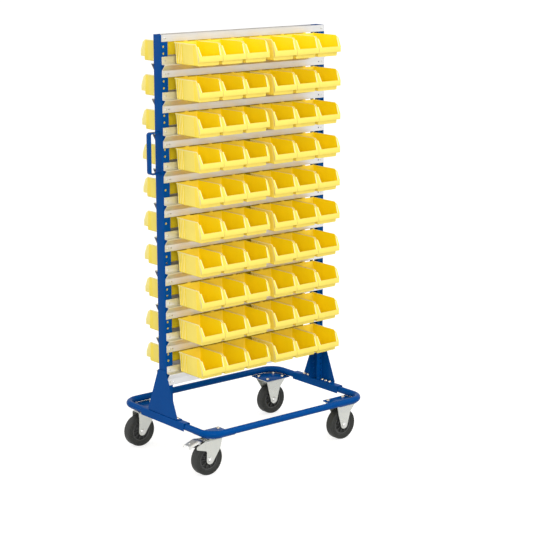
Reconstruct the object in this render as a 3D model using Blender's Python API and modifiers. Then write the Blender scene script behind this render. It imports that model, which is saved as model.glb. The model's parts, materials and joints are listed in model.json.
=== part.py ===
"""Mobile bin cart: a double-sided rack of louvre rails on a tube base with four castors.

Lengths are in metres and +Z is up. The cart's long side runs along X, the front of the
rack faces -Y, and the push handle and the two swivel castors are on the -X side. The
origin is on the floor, in the middle of the cart's outer box.
"""
import math

import bmesh
import bpy
from mathutils import Matrix, Vector

# Clearances
seat_gap = 0.0003
fuse_depth = 0.0004
cut_overrun = 0.004
weld_distance = 0.00001

# Rack
rack_width = 0.795
rack_top = 1.6445
row_count = 10
row_pitch = 0.131
loose_bin_side = "front"
loose_bin_row = 10

# Uprights
upright_depth = 0.047
upright_flange = 0.0315
upright_sheet = 0.002
hole_diameter = 0.009
hole_raster = 0.0254
hole_from_top = 0.0182
hole_from_web = 0.0123
hole_margin = 0.0012
hole_sides = 5

# Rails: a flat strip, a slope that leans out, a level ledge and a flat strip above it
strip_height = 0.0255
ledge_height = 0.0475
ledge_reach = 0.0185
rail_height = 0.0765
rail_sheet = 0.0015
rail_end_inset = 0.003

# Bins
bin_spacing = 0.1102
bin_group_gap = 0.0241
bins_per_group = 3
group_count = 2
bin_width = 0.1084
bin_floor_width = 0.0946
bin_side_top_width = 0.1034
bin_length = 0.157
bin_height = 0.079
bin_wall = 0.002
bin_rear_clearance = 0.0022
bin_rear_lean = 0.0075
bin_floor_end = 0.141
bin_riser_lean = 0.0015
bin_step_height = 0.014
bin_step_rise = 0.002
bin_lip_height = 0.037
bin_opening_lean = 0.015
bin_ear_foot_width = 0.012
bin_ear_top_width = 0.008
bin_flare_length = 0.012
bin_kink_drop = 0.009

# Base frame
tube_diameter = 0.0265
tube_inset = 0.0095
tube_spread_y = 0.571
bend_radius = 0.063
bend_steps = 6
tube_end_from_middle = 0.010
tube_bevel_resolution = 4

# Saddles
saddle_sheet = 0.002
saddle_length = 0.280
saddle_height = 0.0300

# Gussets
gusset_sheet = 0.003
gusset_base_width = 0.190
gusset_height = 0.181
gusset_flange = 0.0245
gusset_foot_rise = 0.006
foot_bolt_spacing = 0.0225
foot_bolt_first = 0.034
foot_bolt_count = 3

# Bolt heads
bolt_head_diameter = 0.014
bolt_head_height = 0.006
bolt_crown_diameter = 0.008
bolt_sides = 6

# Push handle
handle_bottom = 1.129
handle_height = 0.158
handle_reach = 0.0505
handle_width = 0.0265
handle_sheet = 0.004
handle_bend = 0.007
handle_bend_steps = 3
handle_front = 0.0205

# Corner plates
corner_plate_sheet = 0.004
corner_plate_x = 0.122
corner_plate_y = 0.108
corner_plate_inset = 0.002

# Castors
castor_inset_x = 0.069
castor_inset_y = 0.0629
wheel_diameter = 0.125
wheel_width = 0.037
wheel_segments = 20
castor_plate_x = 0.105
castor_plate_y = 0.085
castor_plate_sheet = 0.003
castor_bolts_x = 0.080
castor_bolts_y = 0.060
castor_trail = 0.039
fork_gap = 0.043
fork_sheet = 0.003
race_diameter = 0.062
race_height = 0.006
race_clearance = 0.0006
crown_clearance = 0.01575
race_sides = 20
axle_diameter = 0.0094
axle_head_diameter = 0.018
axle_head_height = 0.005
axle_head_sides = 6
axle_sides = 12
axle_clearance = 0.0004

# Tyre and rim
tyre_bore_diameter = 0.082
tyre_shoulder = 0.004
tyre_bead_width = 0.032
rim_seat_gap = 0.0003
rim_ring = 0.004
rim_web_width = 0.010
rim_hub_diameter = 0.026
rim_hub_width = 0.041
rim_ring_width = 0.030

# Fixed fork, seen from the side
fixed_leg_top_width = 0.096
fixed_leg_foot_radius = 0.017
fixed_flare_height = 0.031
fixed_flare_reach = 0.014
foot_arc_steps = 6

# Swivel fork, seen from the side, with drops below the top of its crown
swivel_front = 0.020
swivel_front_knee_x = 0.008
swivel_front_knee_drop = 0.0435
swivel_foot_radius = 0.017
swivel_throat_x = 0.054
swivel_throat_drop = 0.04375
swivel_nose_x = 0.100
swivel_nose_low_drop = 0.03075
swivel_nose_high_drop = 0.01775
swivel_crown_end = 0.044
swivel_shoulder_x = 0.060
swivel_shoulder_drop = 0.00475

# Brake pedal, with rises and drops from its pivot
brake_corner = "fl"
pedal_pivot_x = 0.050
pedal_pivot_below_crown = 0.01025
pedal_pin_diameter = 0.005
pedal_pin_head_height = 0.002
pedal_eye_diameter = 0.0090
pedal_eye_length = 0.034
pedal_sheet = 0.0025
pedal_neck_width = 0.036
pedal_tread_width = 0.052
pedal_neck_end_x = 0.078
pedal_knee_x = 0.066
pedal_knee_rise = 0.0105
pedal_crest_x = 0.086
pedal_crest_rise = 0.013
pedal_tip_x = 0.131
pedal_tip_drop = 0.0015
pedal_hem = 0.005
pedal_shoe_near_x = 0.066
pedal_shoe_far_x = 0.076
pedal_shoe_width = 0.024
pedal_shoe_drop = 0.011

# Worked out from the sizes above
web_face = rack_width / 2
flange_face = upright_depth / 2
rail_back = flange_face + seat_gap
rail_face = rail_back + rail_sheet
rail_length = rack_width - rail_end_inset - rail_end_inset
top_strip_z = rack_top - strip_height
tube_radius = tube_diameter / 2
tube_x = web_face - tube_inset
tube_y = tube_spread_y / 2
castor_x = tube_x - castor_inset_x
castor_y = tube_y - castor_inset_y
wheel_radius = wheel_diameter / 2
fork_inner = fork_gap / 2
fork_outer = fork_inner + fork_sheet
crown_top = wheel_diameter + crown_clearance + fork_sheet
race_bottom = crown_top + race_clearance
castor_plate_bottom = race_bottom + race_height
castor_top = castor_plate_bottom + castor_plate_sheet
corner_plate_bottom = castor_top + seat_gap
corner_plate_top = corner_plate_bottom + corner_plate_sheet
tube_height = corner_plate_top + seat_gap + tube_radius
tube_top = tube_height + tube_radius
saddle_top = tube_top + seat_gap + saddle_sheet
saddle_half_width = tube_radius + seat_gap + saddle_sheet
upright_foot = saddle_top + seat_gap
pedal_pivot_z = crown_top - pedal_pivot_below_crown
left_reach = max(web_face + seat_gap + handle_reach, castor_x + pedal_tip_x + pedal_sheet)
right_reach = tube_x + saddle_half_width
cart_shift = (left_reach - right_reach) / 2

left = -1
right = 1
front = -1
rear = 1
sides_x = {"left": left, "right": right}
sides_y = {"front": front, "rear": rear}
corners = {"fl": (left, front), "fr": (right, front), "rl": (left, rear), "rr": (right, rear)}

# Colours, roughness and metal share of each finish
finishes = {
    "blue_paint": ((0.014, 0.085, 0.330), 0.38, 0.0),
    "yellow_plastic": ((0.930, 0.640, 0.060), 0.45, 0.0),
    "galvanised_sheet": ((0.620, 0.630, 0.620), 0.38, 0.9),
    "bright_zinc": ((0.720, 0.720, 0.700), 0.28, 1.0),
    "black_rubber": ((0.022, 0.022, 0.021), 0.70, 0.0),
    "dark_plastic": ((0.040, 0.040, 0.038), 0.50, 0.0),
}


# Scene and materials

def clear_scene():
    """Remove what the scene holds before the cart is made."""
    for old in list(bpy.data.objects):
        bpy.data.objects.remove(old)
    for old in list(bpy.data.collections):
        bpy.data.collections.remove(old)


def make_collection(name):
    collection = bpy.data.collections.new(name)
    bpy.context.scene.collection.children.link(collection)
    return collection


def finish_material(name, finish):
    """A Principled material for one sub-part, in one of the cart's finishes."""
    colour, roughness, metallic = finishes[finish]
    material = bpy.data.materials.new(name)
    material.use_nodes = True
    shader = material.node_tree.nodes["Principled BSDF"]
    shader.inputs["Base Color"].default_value = (*colour, 1.0)
    shader.inputs["Roughness"].default_value = roughness
    shader.inputs["Metallic"].default_value = metallic
    return material


def add_part(obj, finish, parent):
    """Put a finished piece in the cart's collection with its material and parent."""
    for collection in list(obj.users_collection):
        collection.objects.unlink(obj)
    cart.objects.link(obj)
    obj.data.materials.clear()
    obj.data.materials.append(finish_material(obj.name + "_finish", finish))
    obj.parent = parent
    return obj


def add_empty(name, place, parent=None):
    empty = bpy.data.objects.new(name, None)
    cart.objects.link(empty)
    empty.location = place
    empty.parent = parent
    return empty


# Shape helpers

def object_from(bm, name):
    """A new object among the cutters; add_part moves what is finished to the cart."""
    mesh = bpy.data.meshes.new(name)
    bm.to_mesh(mesh)
    bm.free()
    obj = bpy.data.objects.new(name, mesh)
    cutters.objects.link(obj)
    return obj


def box(name, low, high):
    """A box between two corners."""
    bm = bmesh.new()
    size = Vector(high) - Vector(low)
    middle = (Vector(high) + Vector(low)) / 2
    place = Matrix.Translation(middle) @ Matrix.Diagonal(size).to_4x4()
    bmesh.ops.create_cube(bm, size=1.0, matrix=place)
    return object_from(bm, name)


def cylinder(bm, centre, direction, diameter, length, sides, end_diameter=None):
    """A cylinder or cone with closed ends, centred on a point."""
    turn = Vector((0, 0, 1)).rotation_difference(Vector(direction)).to_matrix().to_4x4()
    end = diameter if end_diameter is None else end_diameter
    bmesh.ops.create_cone(
        bm, cap_ends=True, segments=sides, radius1=diameter / 2, radius2=end / 2,
        depth=length, matrix=Matrix.Translation(centre) @ turn)


def extruded(name, outline, axis, low, high):
    """A closed outline in the other two axes, drawn out along one axis."""
    curve = bpy.data.curves.new(name, "CURVE")
    curve.dimensions = "2D"
    curve.fill_mode = "BOTH"
    curve.extrude = (high - low) / 2
    spline = curve.splines.new("POLY")
    spline.points.add(len(outline) - 1)
    for point, (across, up) in zip(spline.points, outline):
        point.co = Vector((across, up, 0)).to_4d()
    spline.use_cyclic_u = True
    flat = bpy.data.objects.new(name + "_outline", curve)
    cutters.objects.link(flat)
    middle = (high + low) / 2
    if axis == "X":
        flat.matrix_world = Matrix(((0, 0, 1, middle), (1, 0, 0, 0), (0, 1, 0, 0), (0, 0, 0, 1)))
    elif axis == "Y":
        flat.matrix_world = Matrix(((1, 0, 0, 0), (0, 0, -1, middle), (0, 1, 0, 0), (0, 0, 0, 1)))
    else:
        flat.matrix_world = Matrix.Translation((0, 0, middle))
    return mesh_from_curve(flat, name)


def mesh_from_curve(curve_object, name):
    """Turn a curve into a welded mesh at its place and remove the curve."""
    bpy.context.view_layer.update()
    evaluated = curve_object.evaluated_get(bpy.context.evaluated_depsgraph_get())
    mesh = bpy.data.meshes.new_from_object(evaluated)
    mesh.transform(curve_object.matrix_world)
    bm = bmesh.new()
    bm.from_mesh(mesh)
    bpy.data.meshes.remove(mesh)
    bpy.data.objects.remove(curve_object)
    bmesh.ops.remove_doubles(bm, verts=bm.verts, dist=weld_distance)
    bmesh.ops.recalc_face_normals(bm, faces=bm.faces)
    return object_from(bm, name)


def sheet(name, profile, along, start, end, thickness):
    """Sheet metal: an open profile drawn out along one axis, then given its thickness.

    Seen with the draw axis pointing away, the thickness goes to the left of the profile.
    """
    bm = bmesh.new()
    points = []
    for first, second in profile:
        place = {"X": (start, first, second), "Y": (first, start, second), "Z": (first, second, start)}
        points.append(bm.verts.new(place[along]))
    edges = [bm.edges.new(pair) for pair in zip(points, points[1:])]
    drawn = bmesh.ops.extrude_edge_only(bm, edges=edges)["geom"]
    travel = end - start
    step = {"X": (travel, 0, 0), "Y": (0, travel, 0), "Z": (0, 0, travel)}[along]
    bmesh.ops.translate(bm, vec=step, verts=[v for v in drawn if isinstance(v, bmesh.types.BMVert)])
    obj = object_from(bm, name)
    solidify = obj.modifiers.new("sheet", "SOLIDIFY")
    solidify.thickness = thickness
    solidify.offset = -1.0
    solidify.use_even_offset = True
    return obj


def applied(obj):
    """Apply an object's modifiers, with every face pointing outwards."""
    bpy.context.view_layer.update()
    evaluated = obj.evaluated_get(bpy.context.evaluated_depsgraph_get())
    mesh = bpy.data.meshes.new_from_object(evaluated)
    obj.modifiers.clear()
    bm = bmesh.new()
    bm.from_mesh(mesh)
    bmesh.ops.remove_doubles(bm, verts=bm.verts, dist=weld_distance)
    bmesh.ops.recalc_face_normals(bm, faces=bm.faces)
    bm.to_mesh(mesh)
    bm.free()
    obj.data = mesh
    return obj


def turned(name, profile, segments):
    """A closed profile of (radius, place along Y), turned about the Y axis."""
    bm = bmesh.new()
    points = [bm.verts.new((radius, along, 0)) for radius, along in profile]
    for pair in zip(points, points[1:] + points[:1]):
        bm.edges.new(pair)
    obj = object_from(bm, name)
    screw = obj.modifiers.new("turn", "SCREW")
    screw.axis = "Y"
    screw.steps = segments
    screw.render_steps = segments
    screw.use_merge_vertices = True
    screw.merge_threshold = weld_distance
    return smooth(applied(obj))


def smooth(obj):
    """Shade a round piece smooth and keep its edges sharp."""
    obj.data.shade_smooth()
    obj.data.set_sharp_from_angle(angle=math.radians(35))
    return obj


def boolean(obj, other, operation):
    """Cut, join or intersect a piece with another solid."""
    modifier = obj.modifiers.new(operation.lower(), "BOOLEAN")
    modifier.operation = operation
    modifier.object = other
    modifier.solver = "EXACT"
    return obj


def shaped(obj, other, operation):
    """Cut, join or intersect a piece and keep only the result."""
    boolean(obj, other, operation)
    applied(obj)
    bpy.data.objects.remove(other)
    return obj


def copies(name, source, places):
    """One object that holds a copy of a mesh at each place."""
    bm = bmesh.new()
    for place in places:
        first = len(bm.verts)
        bm.from_mesh(source)
        bm.verts.ensure_lookup_table()
        bmesh.ops.transform(bm, matrix=place, verts=bm.verts[first:])
    return object_from(bm, name)


def facing(side):
    """The matrix that turns a front piece to the front or to the rear of the rack."""
    return Matrix.Identity(4) if side == front else Matrix.Rotation(math.pi, 4, "Z")


def arc(centre, radius, start, end, steps):
    """Points along an arc, with the angles in degrees."""
    points = []
    for step in range(steps + 1):
        angle = math.radians(start + (end - start) * step / steps)
        points.append((centre[0] + radius * math.cos(angle), centre[1] + radius * math.sin(angle)))
    return points


# Uprights and rails

def rail_bottom(row):
    """Height of a rail's lower edge; row 1 is the highest rail and row 0 the top strip."""
    return top_strip_z - row * row_pitch


def is_open_hole(height):
    """A hole is drilled through where no rail covers it."""
    reach = hole_diameter / 2 + hole_margin
    if height > top_strip_z - reach or height < upright_foot + gusset_foot_rise + reach:
        return False
    for row in range(1, row_count + 1):
        low = rail_bottom(row)
        if low - reach < height < low + rail_height + reach:
            return False
    return True


def make_upright(name, side):
    """A channel with its web outwards and a row of holes down both flanges."""
    web = side * web_face
    edge = side * (web_face - upright_flange)
    profile = [(edge, -flange_face), (web, -flange_face), (web, flange_face), (edge, flange_face)]
    if side == right:
        profile.reverse()
    upright = sheet(name, profile, "Z", upright_foot, rack_top, upright_sheet)
    applied(upright)
    holes = bmesh.new()
    height = rack_top - hole_from_top
    while height > upright_foot:
        if is_open_hole(height):
            centre = (side * (web_face - hole_from_web), 0, height)
            length = upright_depth + cut_overrun
            cylinder(holes, centre, (0, 1, 0), hole_diameter, length, hole_sides)
        height -= hole_raster
    return shaped(upright, object_from(holes, name + "_holes"), "DIFFERENCE")


def make_rail(name, side, row, mesh):
    """A louvre rail and, unless they stand loose on it, its six bins."""
    profile = [
        (-rail_face, 0), (-rail_face, strip_height), (-rail_face - ledge_reach, ledge_height),
        (-rail_face, ledge_height), (-rail_face, rail_height)]
    end = rail_length / 2
    rail = applied(sheet(name, profile, "X", -end, end, rail_sheet))
    if mesh:
        floor = ledge_height - fuse_depth
        out = -rail_face - bin_rear_clearance
        places = [Matrix.Translation((across, out, floor)) for across in bin_places()]
        shaped(rail, copies(name + "_bins", mesh, places), "UNION")
    rail.data.transform(facing(side) @ Matrix.Translation((0, 0, rail_bottom(row))))
    return rail


def make_top_strip(name, side):
    """The plain strip across the top of one face."""
    end = rail_length / 2
    strip = box(name, (-end, -rail_face, top_strip_z), (end, -rail_back, rack_top))
    strip.data.transform(facing(side))
    return strip


# Bins

def bin_mesh(has_step_and_ears):
    """An open-fronted bin: its outer skin as one open surface, then given its wall.

    X is across, the rear rim is at Y = 0 and the bin runs out along -Y, standing on Z = 0.
    The bins that are one solid with their rail do without the step and the ears.
    """
    floor_half = bin_floor_width / 2
    top_half = bin_side_top_width / 2
    ear_half = bin_width / 2
    rim_front = bin_length - bin_opening_lean
    kink_height = bin_height - bin_kink_drop
    bm = bmesh.new()

    def pair(across, out, up):
        """The same point on the left and on the right of the bin."""
        return {end: bm.verts.new((end * across, -out, up)) for end in (left, right)}

    rear_low = pair(floor_half, bin_rear_lean, 0)
    rear_top = pair(top_half, 0, bin_height)
    floor_end = pair(floor_half, bin_floor_end, 0)
    step = pair(ear_half, bin_length, bin_step_height + bin_step_rise)
    lip = pair(ear_half, bin_length, bin_lip_height)
    kink = pair(ear_half, rim_front, kink_height)
    flare = pair(top_half, rim_front - bin_flare_length, bin_height)
    bm.faces.new((rear_low[left], rear_low[right], floor_end[right], floor_end[left]))
    bm.faces.new((rear_low[right], rear_low[left], rear_top[left], rear_top[right]))
    for end in (left, right):
        bm.faces.new((rear_low[end], floor_end[end], flare[end], rear_top[end]))
        bm.faces.new((step[end], lip[end], kink[end], flare[end]))
    if has_step_and_ears:
        riser = pair(floor_half, bin_floor_end + bin_riser_lean, bin_step_height)
        lip_ear = pair(ear_half - bin_ear_foot_width, bin_length, bin_lip_height)
        ear_top = pair(ear_half - bin_ear_top_width, rim_front, kink_height)
        bm.faces.new((floor_end[left], floor_end[right], riser[right], riser[left]))
        bm.faces.new((riser[left], riser[right], step[right], step[left]))
        bm.faces.new((step[left], step[right], lip[right], lip_ear[right], lip_ear[left], lip[left]))
        for end in (left, right):
            bm.faces.new((floor_end[end], riser[end], flare[end]))
            bm.faces.new((riser[end], step[end], flare[end]))
            bm.faces.new((lip[end], lip_ear[end], ear_top[end], kink[end]))
    else:
        bm.faces.new((floor_end[left], floor_end[right], step[right], step[left]))
        bm.faces.new((step[left], step[right], lip[right], lip[left]))
        for end in (left, right):
            bm.faces.new((floor_end[end], step[end], flare[end]))
    bmesh.ops.recalc_face_normals(bm, faces=bm.faces)
    if sum(face.normal.z * face.calc_area() for face in bm.faces) > 0:
        bmesh.ops.reverse_faces(bm, faces=bm.faces)
    skin = object_from(bm, "bin_skin")
    solidify = skin.modifiers.new("wall", "SOLIDIFY")
    solidify.thickness = bin_wall
    solidify.offset = -1.0
    solidify.use_even_offset = True
    mesh = applied(skin).data
    bpy.data.objects.remove(skin)
    return mesh


def bin_places():
    """Where the bins of one row stand along X."""
    per_row = bins_per_group * group_count
    middle = (per_row - 1) / 2
    places = []
    for index in range(per_row):
        group_side = left if index < bins_per_group else right
        places.append((index - middle) * bin_spacing + group_side * bin_group_gap / 2)
    return places


def make_loose_bin(name, side, row, across, mesh):
    """One bin that stands on its rail and can be lifted off."""
    floor = rail_bottom(row) + ledge_height + seat_gap
    out = -rail_face - bin_rear_clearance
    loose = bpy.data.objects.new(name, mesh.copy())
    loose.data.transform(facing(side) @ Matrix.Translation((across, out, floor)))
    return loose


# Base frame

def make_base_tube(name, side):
    """A round tube bent into a U, whose ends run into the saddles."""
    corner_x = tube_x - bend_radius
    corner_y = tube_y - bend_radius
    path = [(-tube_x, tube_end_from_middle)]
    path += arc((-corner_x, corner_y), bend_radius, 180, 90, bend_steps)
    path += arc((corner_x, corner_y), bend_radius, 90, 0, bend_steps)
    path.append((tube_x, tube_end_from_middle))
    curve = bpy.data.curves.new(name, "CURVE")
    curve.dimensions = "3D"
    curve.bevel_depth = tube_radius
    curve.bevel_resolution = tube_bevel_resolution
    curve.use_fill_caps = True
    spline = curve.splines.new("POLY")
    spline.points.add(len(path) - 1)
    for point, (across, out) in zip(spline.points, path):
        point.co = Vector((across, side * out, tube_height)).to_4d()
    flat = bpy.data.objects.new(name + "_path", curve)
    cutters.objects.link(flat)
    return smooth(mesh_from_curve(flat, name))


def make_saddle(name, side):
    """An inverted channel over the ends of both base tubes."""
    inner = side * tube_x - saddle_half_width
    outer = side * tube_x + saddle_half_width
    low = saddle_top - saddle_height
    profile = [(inner, low), (inner, saddle_top), (outer, saddle_top), (outer, low)]
    profile.reverse()
    reach = saddle_length / 2
    return applied(sheet(name, profile, "Y", -reach, reach, saddle_sheet))


def make_gusset(name, side):
    """A triangular plate outside the upright, with a foot bent inwards over the saddle."""
    base = gusset_base_width / 2
    low = upright_foot
    knee = low + gusset_foot_rise
    top = low + gusset_height
    plate_low = low + gusset_sheet / 2
    outline = [
        (-base, plate_low), (base, plate_low), (base, knee), (flange_face, top),
        (-flange_face, top), (-base, knee)]
    near = web_face + seat_gap
    far = near + gusset_sheet
    spans = sorted((side * near, side * far))
    plate = extruded(name, outline, "X", *spans)
    foot_xs = sorted((side * (far - gusset_flange), side * (far - fuse_depth)))
    foot_y = base - fuse_depth
    foot = box(name + "_foot", (foot_xs[0], -foot_y, low), (foot_xs[1], foot_y, low + gusset_sheet))
    clear = flange_face + seat_gap
    inside = sorted((side * (far - gusset_flange - cut_overrun), side * (near + gusset_sheet / 2)))
    notch = box(name + "_notch", (inside[0], -clear, low - cut_overrun),
                (inside[1], clear, low + gusset_sheet + cut_overrun))
    shaped(foot, notch, "DIFFERENCE")
    shaped(plate, foot, "UNION")
    bolts = bmesh.new()
    across = side * (far - gusset_sheet - (gusset_flange - gusset_sheet) / 2)
    for end in (front, rear):
        for index in range(foot_bolt_count):
            out = foot_bolt_first + index * foot_bolt_spacing
            bolt_head(bolts, (across, end * out, low + gusset_sheet))
    return shaped(plate, object_from(bolts, name + "_bolts"), "UNION")


def bolt_head(bm, foot):
    """A low domed bolt head that stands on a level face."""
    place = Vector(foot) + Vector((0, 0, bolt_head_height / 2 - fuse_depth))
    cylinder(bm, place, (0, 0, 1), bolt_head_diameter, bolt_head_height, bolt_sides, bolt_crown_diameter)


def make_corner_plate(name, side, end):
    """A flat plate under the bend of the base tube, with the four bolts of its castor."""
    outer_x = tube_x - corner_plate_inset
    outer_y = tube_y - corner_plate_inset
    bend_middle = (tube_x - bend_radius, tube_y - bend_radius)
    outline = [(outer_x - corner_plate_x, outer_y - corner_plate_y), (outer_x, outer_y - corner_plate_y)]
    outline += arc(bend_middle, bend_radius - corner_plate_inset, 0, 90, bend_steps)
    outline.append((outer_x - corner_plate_x, outer_y))
    outline = [(side * across, end * out) for across, out in outline]
    plate = extruded(name, outline, "Z", corner_plate_bottom, corner_plate_top)
    bolts = bmesh.new()
    for bolt_x in (left, right):
        for bolt_y in (front, rear):
            across = side * castor_x + bolt_x * castor_bolts_x / 2
            out = end * castor_y + bolt_y * castor_bolts_y / 2
            bolt_head(bolts, (across, out, corner_plate_top))
    return shaped(plate, object_from(bolts, name + "_bolts"), "UNION")


def make_handle(name):
    """A flat strip bent into a U and welded to the left upright."""
    root = -web_face - seat_gap
    grip = root - handle_reach
    low = handle_bottom
    high = handle_bottom + handle_height
    profile = [(root, low)]
    profile += arc((grip + handle_bend, low + handle_bend), handle_bend, 270, 180, handle_bend_steps)
    profile += arc((grip + handle_bend, high - handle_bend), handle_bend, 180, 90, handle_bend_steps)
    profile.append((root, high))
    profile.reverse()
    return applied(sheet(name, profile, "Y", -handle_front, handle_width - handle_front, handle_sheet))


# Castors, each modelled about the point on the floor under its plate

def make_tyre(name):
    radius = wheel_radius
    bore = tyre_bore_diameter / 2
    width = wheel_width / 2
    bead = tyre_bead_width / 2
    shoulder = tyre_shoulder
    profile = [
        (bore, -bead), (bore, bead), (radius - shoulder - shoulder, width),
        (radius - shoulder, width), (radius, width - shoulder), (radius, shoulder - width),
        (radius - shoulder, -width), (radius - shoulder - shoulder, -width)]
    return turned(name, profile, wheel_segments)


def make_rim(name):
    outer = tyre_bore_diameter / 2 - rim_seat_gap
    ring = outer - rim_ring
    hub = rim_hub_diameter / 2
    bore = axle_diameter / 2 + axle_clearance + axle_clearance
    hub_end = rim_hub_width / 2
    ring_end = rim_ring_width / 2
    web = rim_web_width / 2
    profile = [
        (bore, -hub_end), (bore, hub_end), (hub, hub_end), (hub, web), (ring, web), (ring, ring_end),
        (outer, ring_end), (outer, -ring_end), (ring, -ring_end), (ring, -web), (hub, -web),
        (hub, -hub_end)]
    return turned(name, profile, wheel_segments)


def make_axle(name):
    """The wheel's bolt and nut, in one piece, on the Y axis."""
    bm = bmesh.new()
    reach = fork_outer + seat_gap
    cylinder(bm, (0, 0, 0), (0, 1, 0), axle_diameter, reach + reach, axle_sides)
    axle = object_from(bm, name)
    for end in (front, rear):
        head = bmesh.new()
        overlap = seat_gap / 2
        centre = (0, end * (reach - overlap + axle_head_height / 2), 0)
        cylinder(head, centre, (0, 1, 0), axle_head_diameter, axle_head_height, axle_head_sides)
        shaped(axle, object_from(head, name + "_head"), "UNION")
    return axle


def cross_hole(name, place, pin_diameter):
    """The cutter for a clearance hole through both cheeks of a fork."""
    bm = bmesh.new()
    diameter = pin_diameter + axle_clearance + axle_clearance
    length = fork_outer + fork_outer + cut_overrun
    cylinder(bm, place, (0, 1, 0), diameter, length, axle_sides)
    return object_from(bm, name)


def make_fixed_fork(name):
    """Plate and flared legs of a fixed castor, pressed from one sheet."""
    flare_low = castor_top - fixed_flare_height
    bridge_top = castor_top - castor_plate_sheet / 2
    leg_out = fork_outer
    flare_out = fork_outer + fixed_flare_reach
    foot = wheel_radius - fixed_leg_foot_radius - cut_overrun
    profile = [
        (-leg_out, foot), (-leg_out, flare_low), (-flare_out, bridge_top), (flare_out, bridge_top),
        (leg_out, flare_low), (leg_out, foot)]
    reach = castor_plate_x / 2
    fork = applied(sheet(name, profile, "X", -reach, reach, fork_sheet))
    leg_half = fixed_leg_top_width / 2
    leg_top = castor_top + cut_overrun
    outline = [(-leg_half, leg_top), (-leg_half, castor_plate_bottom)]
    outline += arc((0, wheel_radius), fixed_leg_foot_radius, 200, 340, foot_arc_steps)
    outline += [(leg_half, castor_plate_bottom), (leg_half, leg_top)]
    out = castor_plate_y
    shaped(fork, extruded(name + "_outline", outline, "Y", -out, out), "INTERSECT")
    wide = castor_plate_y / 2
    plate = box(name + "_plate", (-reach, -wide, castor_plate_bottom), (reach, wide, castor_top))
    shaped(fork, plate, "UNION")
    return shaped(fork, cross_hole(name + "_hole", (0, 0, wheel_radius), axle_diameter), "DIFFERENCE")


def make_swivel_plate(name):
    """Top plate of a swivel castor with the cup of its ball race."""
    reach = castor_plate_x / 2
    wide = castor_plate_y / 2
    plate = box(name, (-reach, -wide, castor_plate_bottom), (reach, wide, castor_top))
    race = bmesh.new()
    overlap = castor_plate_sheet / 2
    middle = (0, 0, castor_plate_bottom + (overlap - race_height) / 2)
    cylinder(race, middle, (0, 0, 1), race_diameter, race_height + overlap, race_sides)
    return shaped(plate, object_from(race, name + "_race"), "UNION")


def make_swivel_fork(name, has_pedal):
    """The turning fork of a swivel castor, with its wheel trailing towards -X."""
    inner = fork_inner
    outer = fork_outer
    low = wheel_radius - swivel_foot_radius - cut_overrun
    profile = [(-outer, low), (-outer, crown_top), (outer, crown_top), (outer, low)]
    fork = applied(sheet(name, profile, "X", -swivel_nose_x - cut_overrun,
                         swivel_front + cut_overrun, fork_sheet))
    outline = [(swivel_front, crown_top + cut_overrun), (swivel_front, crown_top - fork_sheet),
               (swivel_front_knee_x, crown_top - swivel_front_knee_drop)]
    outline += arc((-castor_trail, wheel_radius), swivel_foot_radius, -38, -180, foot_arc_steps)
    nose_low = crown_top - swivel_nose_low_drop
    outline += [
        (-swivel_throat_x, crown_top - swivel_throat_drop), (-swivel_nose_x, nose_low),
        (-swivel_nose_x, crown_top - swivel_nose_high_drop),
        (-swivel_shoulder_x, crown_top - swivel_shoulder_drop),
        (-swivel_shoulder_x, crown_top + cut_overrun)]
    out = outer + cut_overrun
    shaped(fork, extruded(name + "_outline", outline, "Y", -out, out), "INTERSECT")
    opening = box(name + "_crown_opening",
                  (-swivel_nose_x - cut_overrun, -inner, nose_low),
                  (-swivel_crown_end, inner, crown_top + cut_overrun))
    shaped(fork, opening, "DIFFERENCE")
    if has_pedal:
        pivot = (-pedal_pivot_x, 0, pedal_pivot_z)
        shaped(fork, cross_hole(name + "_pedal_hole", pivot, pedal_pin_diameter), "DIFFERENCE")
    axle_place = (-castor_trail, 0, wheel_radius)
    return shaped(fork, cross_hole(name + "_axle_hole", axle_place, axle_diameter), "DIFFERENCE")


def make_brake_pedal(name):
    """A stamped pedal on a cross pin in the fork, with a shoe above the tyre."""
    knee_z = pedal_pivot_z + pedal_knee_rise
    tip_z = pedal_pivot_z - pedal_tip_drop
    line = [
        (-pedal_pivot_x, pedal_pivot_z + pedal_eye_diameter / 2), (-pedal_knee_x, knee_z),
        (-pedal_crest_x, pedal_pivot_z + pedal_crest_rise), (-pedal_tip_x, tip_z),
        (-pedal_tip_x - pedal_sheet, tip_z - pedal_hem)]
    tread = pedal_tread_width / 2
    neck = pedal_neck_width / 2
    pedal = applied(sheet(name, line, "Y", -tread, tread, pedal_sheet))
    for end in (front, rear):
        ys = sorted((end * neck, end * (tread + cut_overrun)))
        trim = box(name + "_trim", (-pedal_neck_end_x, ys[0], pedal_pivot_z - pedal_eye_diameter),
                   (cut_overrun, ys[1], castor_top))
        shaped(pedal, trim, "DIFFERENCE")
    pivot = Vector((-pedal_pivot_x, 0, pedal_pivot_z))
    eye = bmesh.new()
    cylinder(eye, pivot, (0, 1, 0), pedal_eye_diameter, pedal_eye_length, axle_sides)
    shaped(pedal, object_from(eye, name + "_eye"), "UNION")
    pin = bmesh.new()
    reach = fork_outer + seat_gap
    cylinder(pin, pivot, (0, 1, 0), pedal_pin_diameter, reach + reach, axle_sides)
    shaped(pedal, object_from(pin, name + "_pin"), "UNION")
    for end in (front, rear):
        head = bmesh.new()
        out = Vector((0, end * (reach - seat_gap / 2 + pedal_pin_head_height / 2), 0))
        cylinder(head, pivot + out, (0, 1, 0), pedal_eye_diameter, pedal_pin_head_height, axle_sides)
        shaped(pedal, object_from(head, name + "_pin_head"), "UNION")
    shoe_half = pedal_shoe_width / 2
    shoe = box(name + "_shoe", (-pedal_shoe_far_x, -shoe_half, pedal_pivot_z - pedal_shoe_drop),
               (-pedal_shoe_near_x, shoe_half, knee_z - pedal_sheet / 2))
    shaped(pedal, shoe, "UNION")
    return pedal


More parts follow.
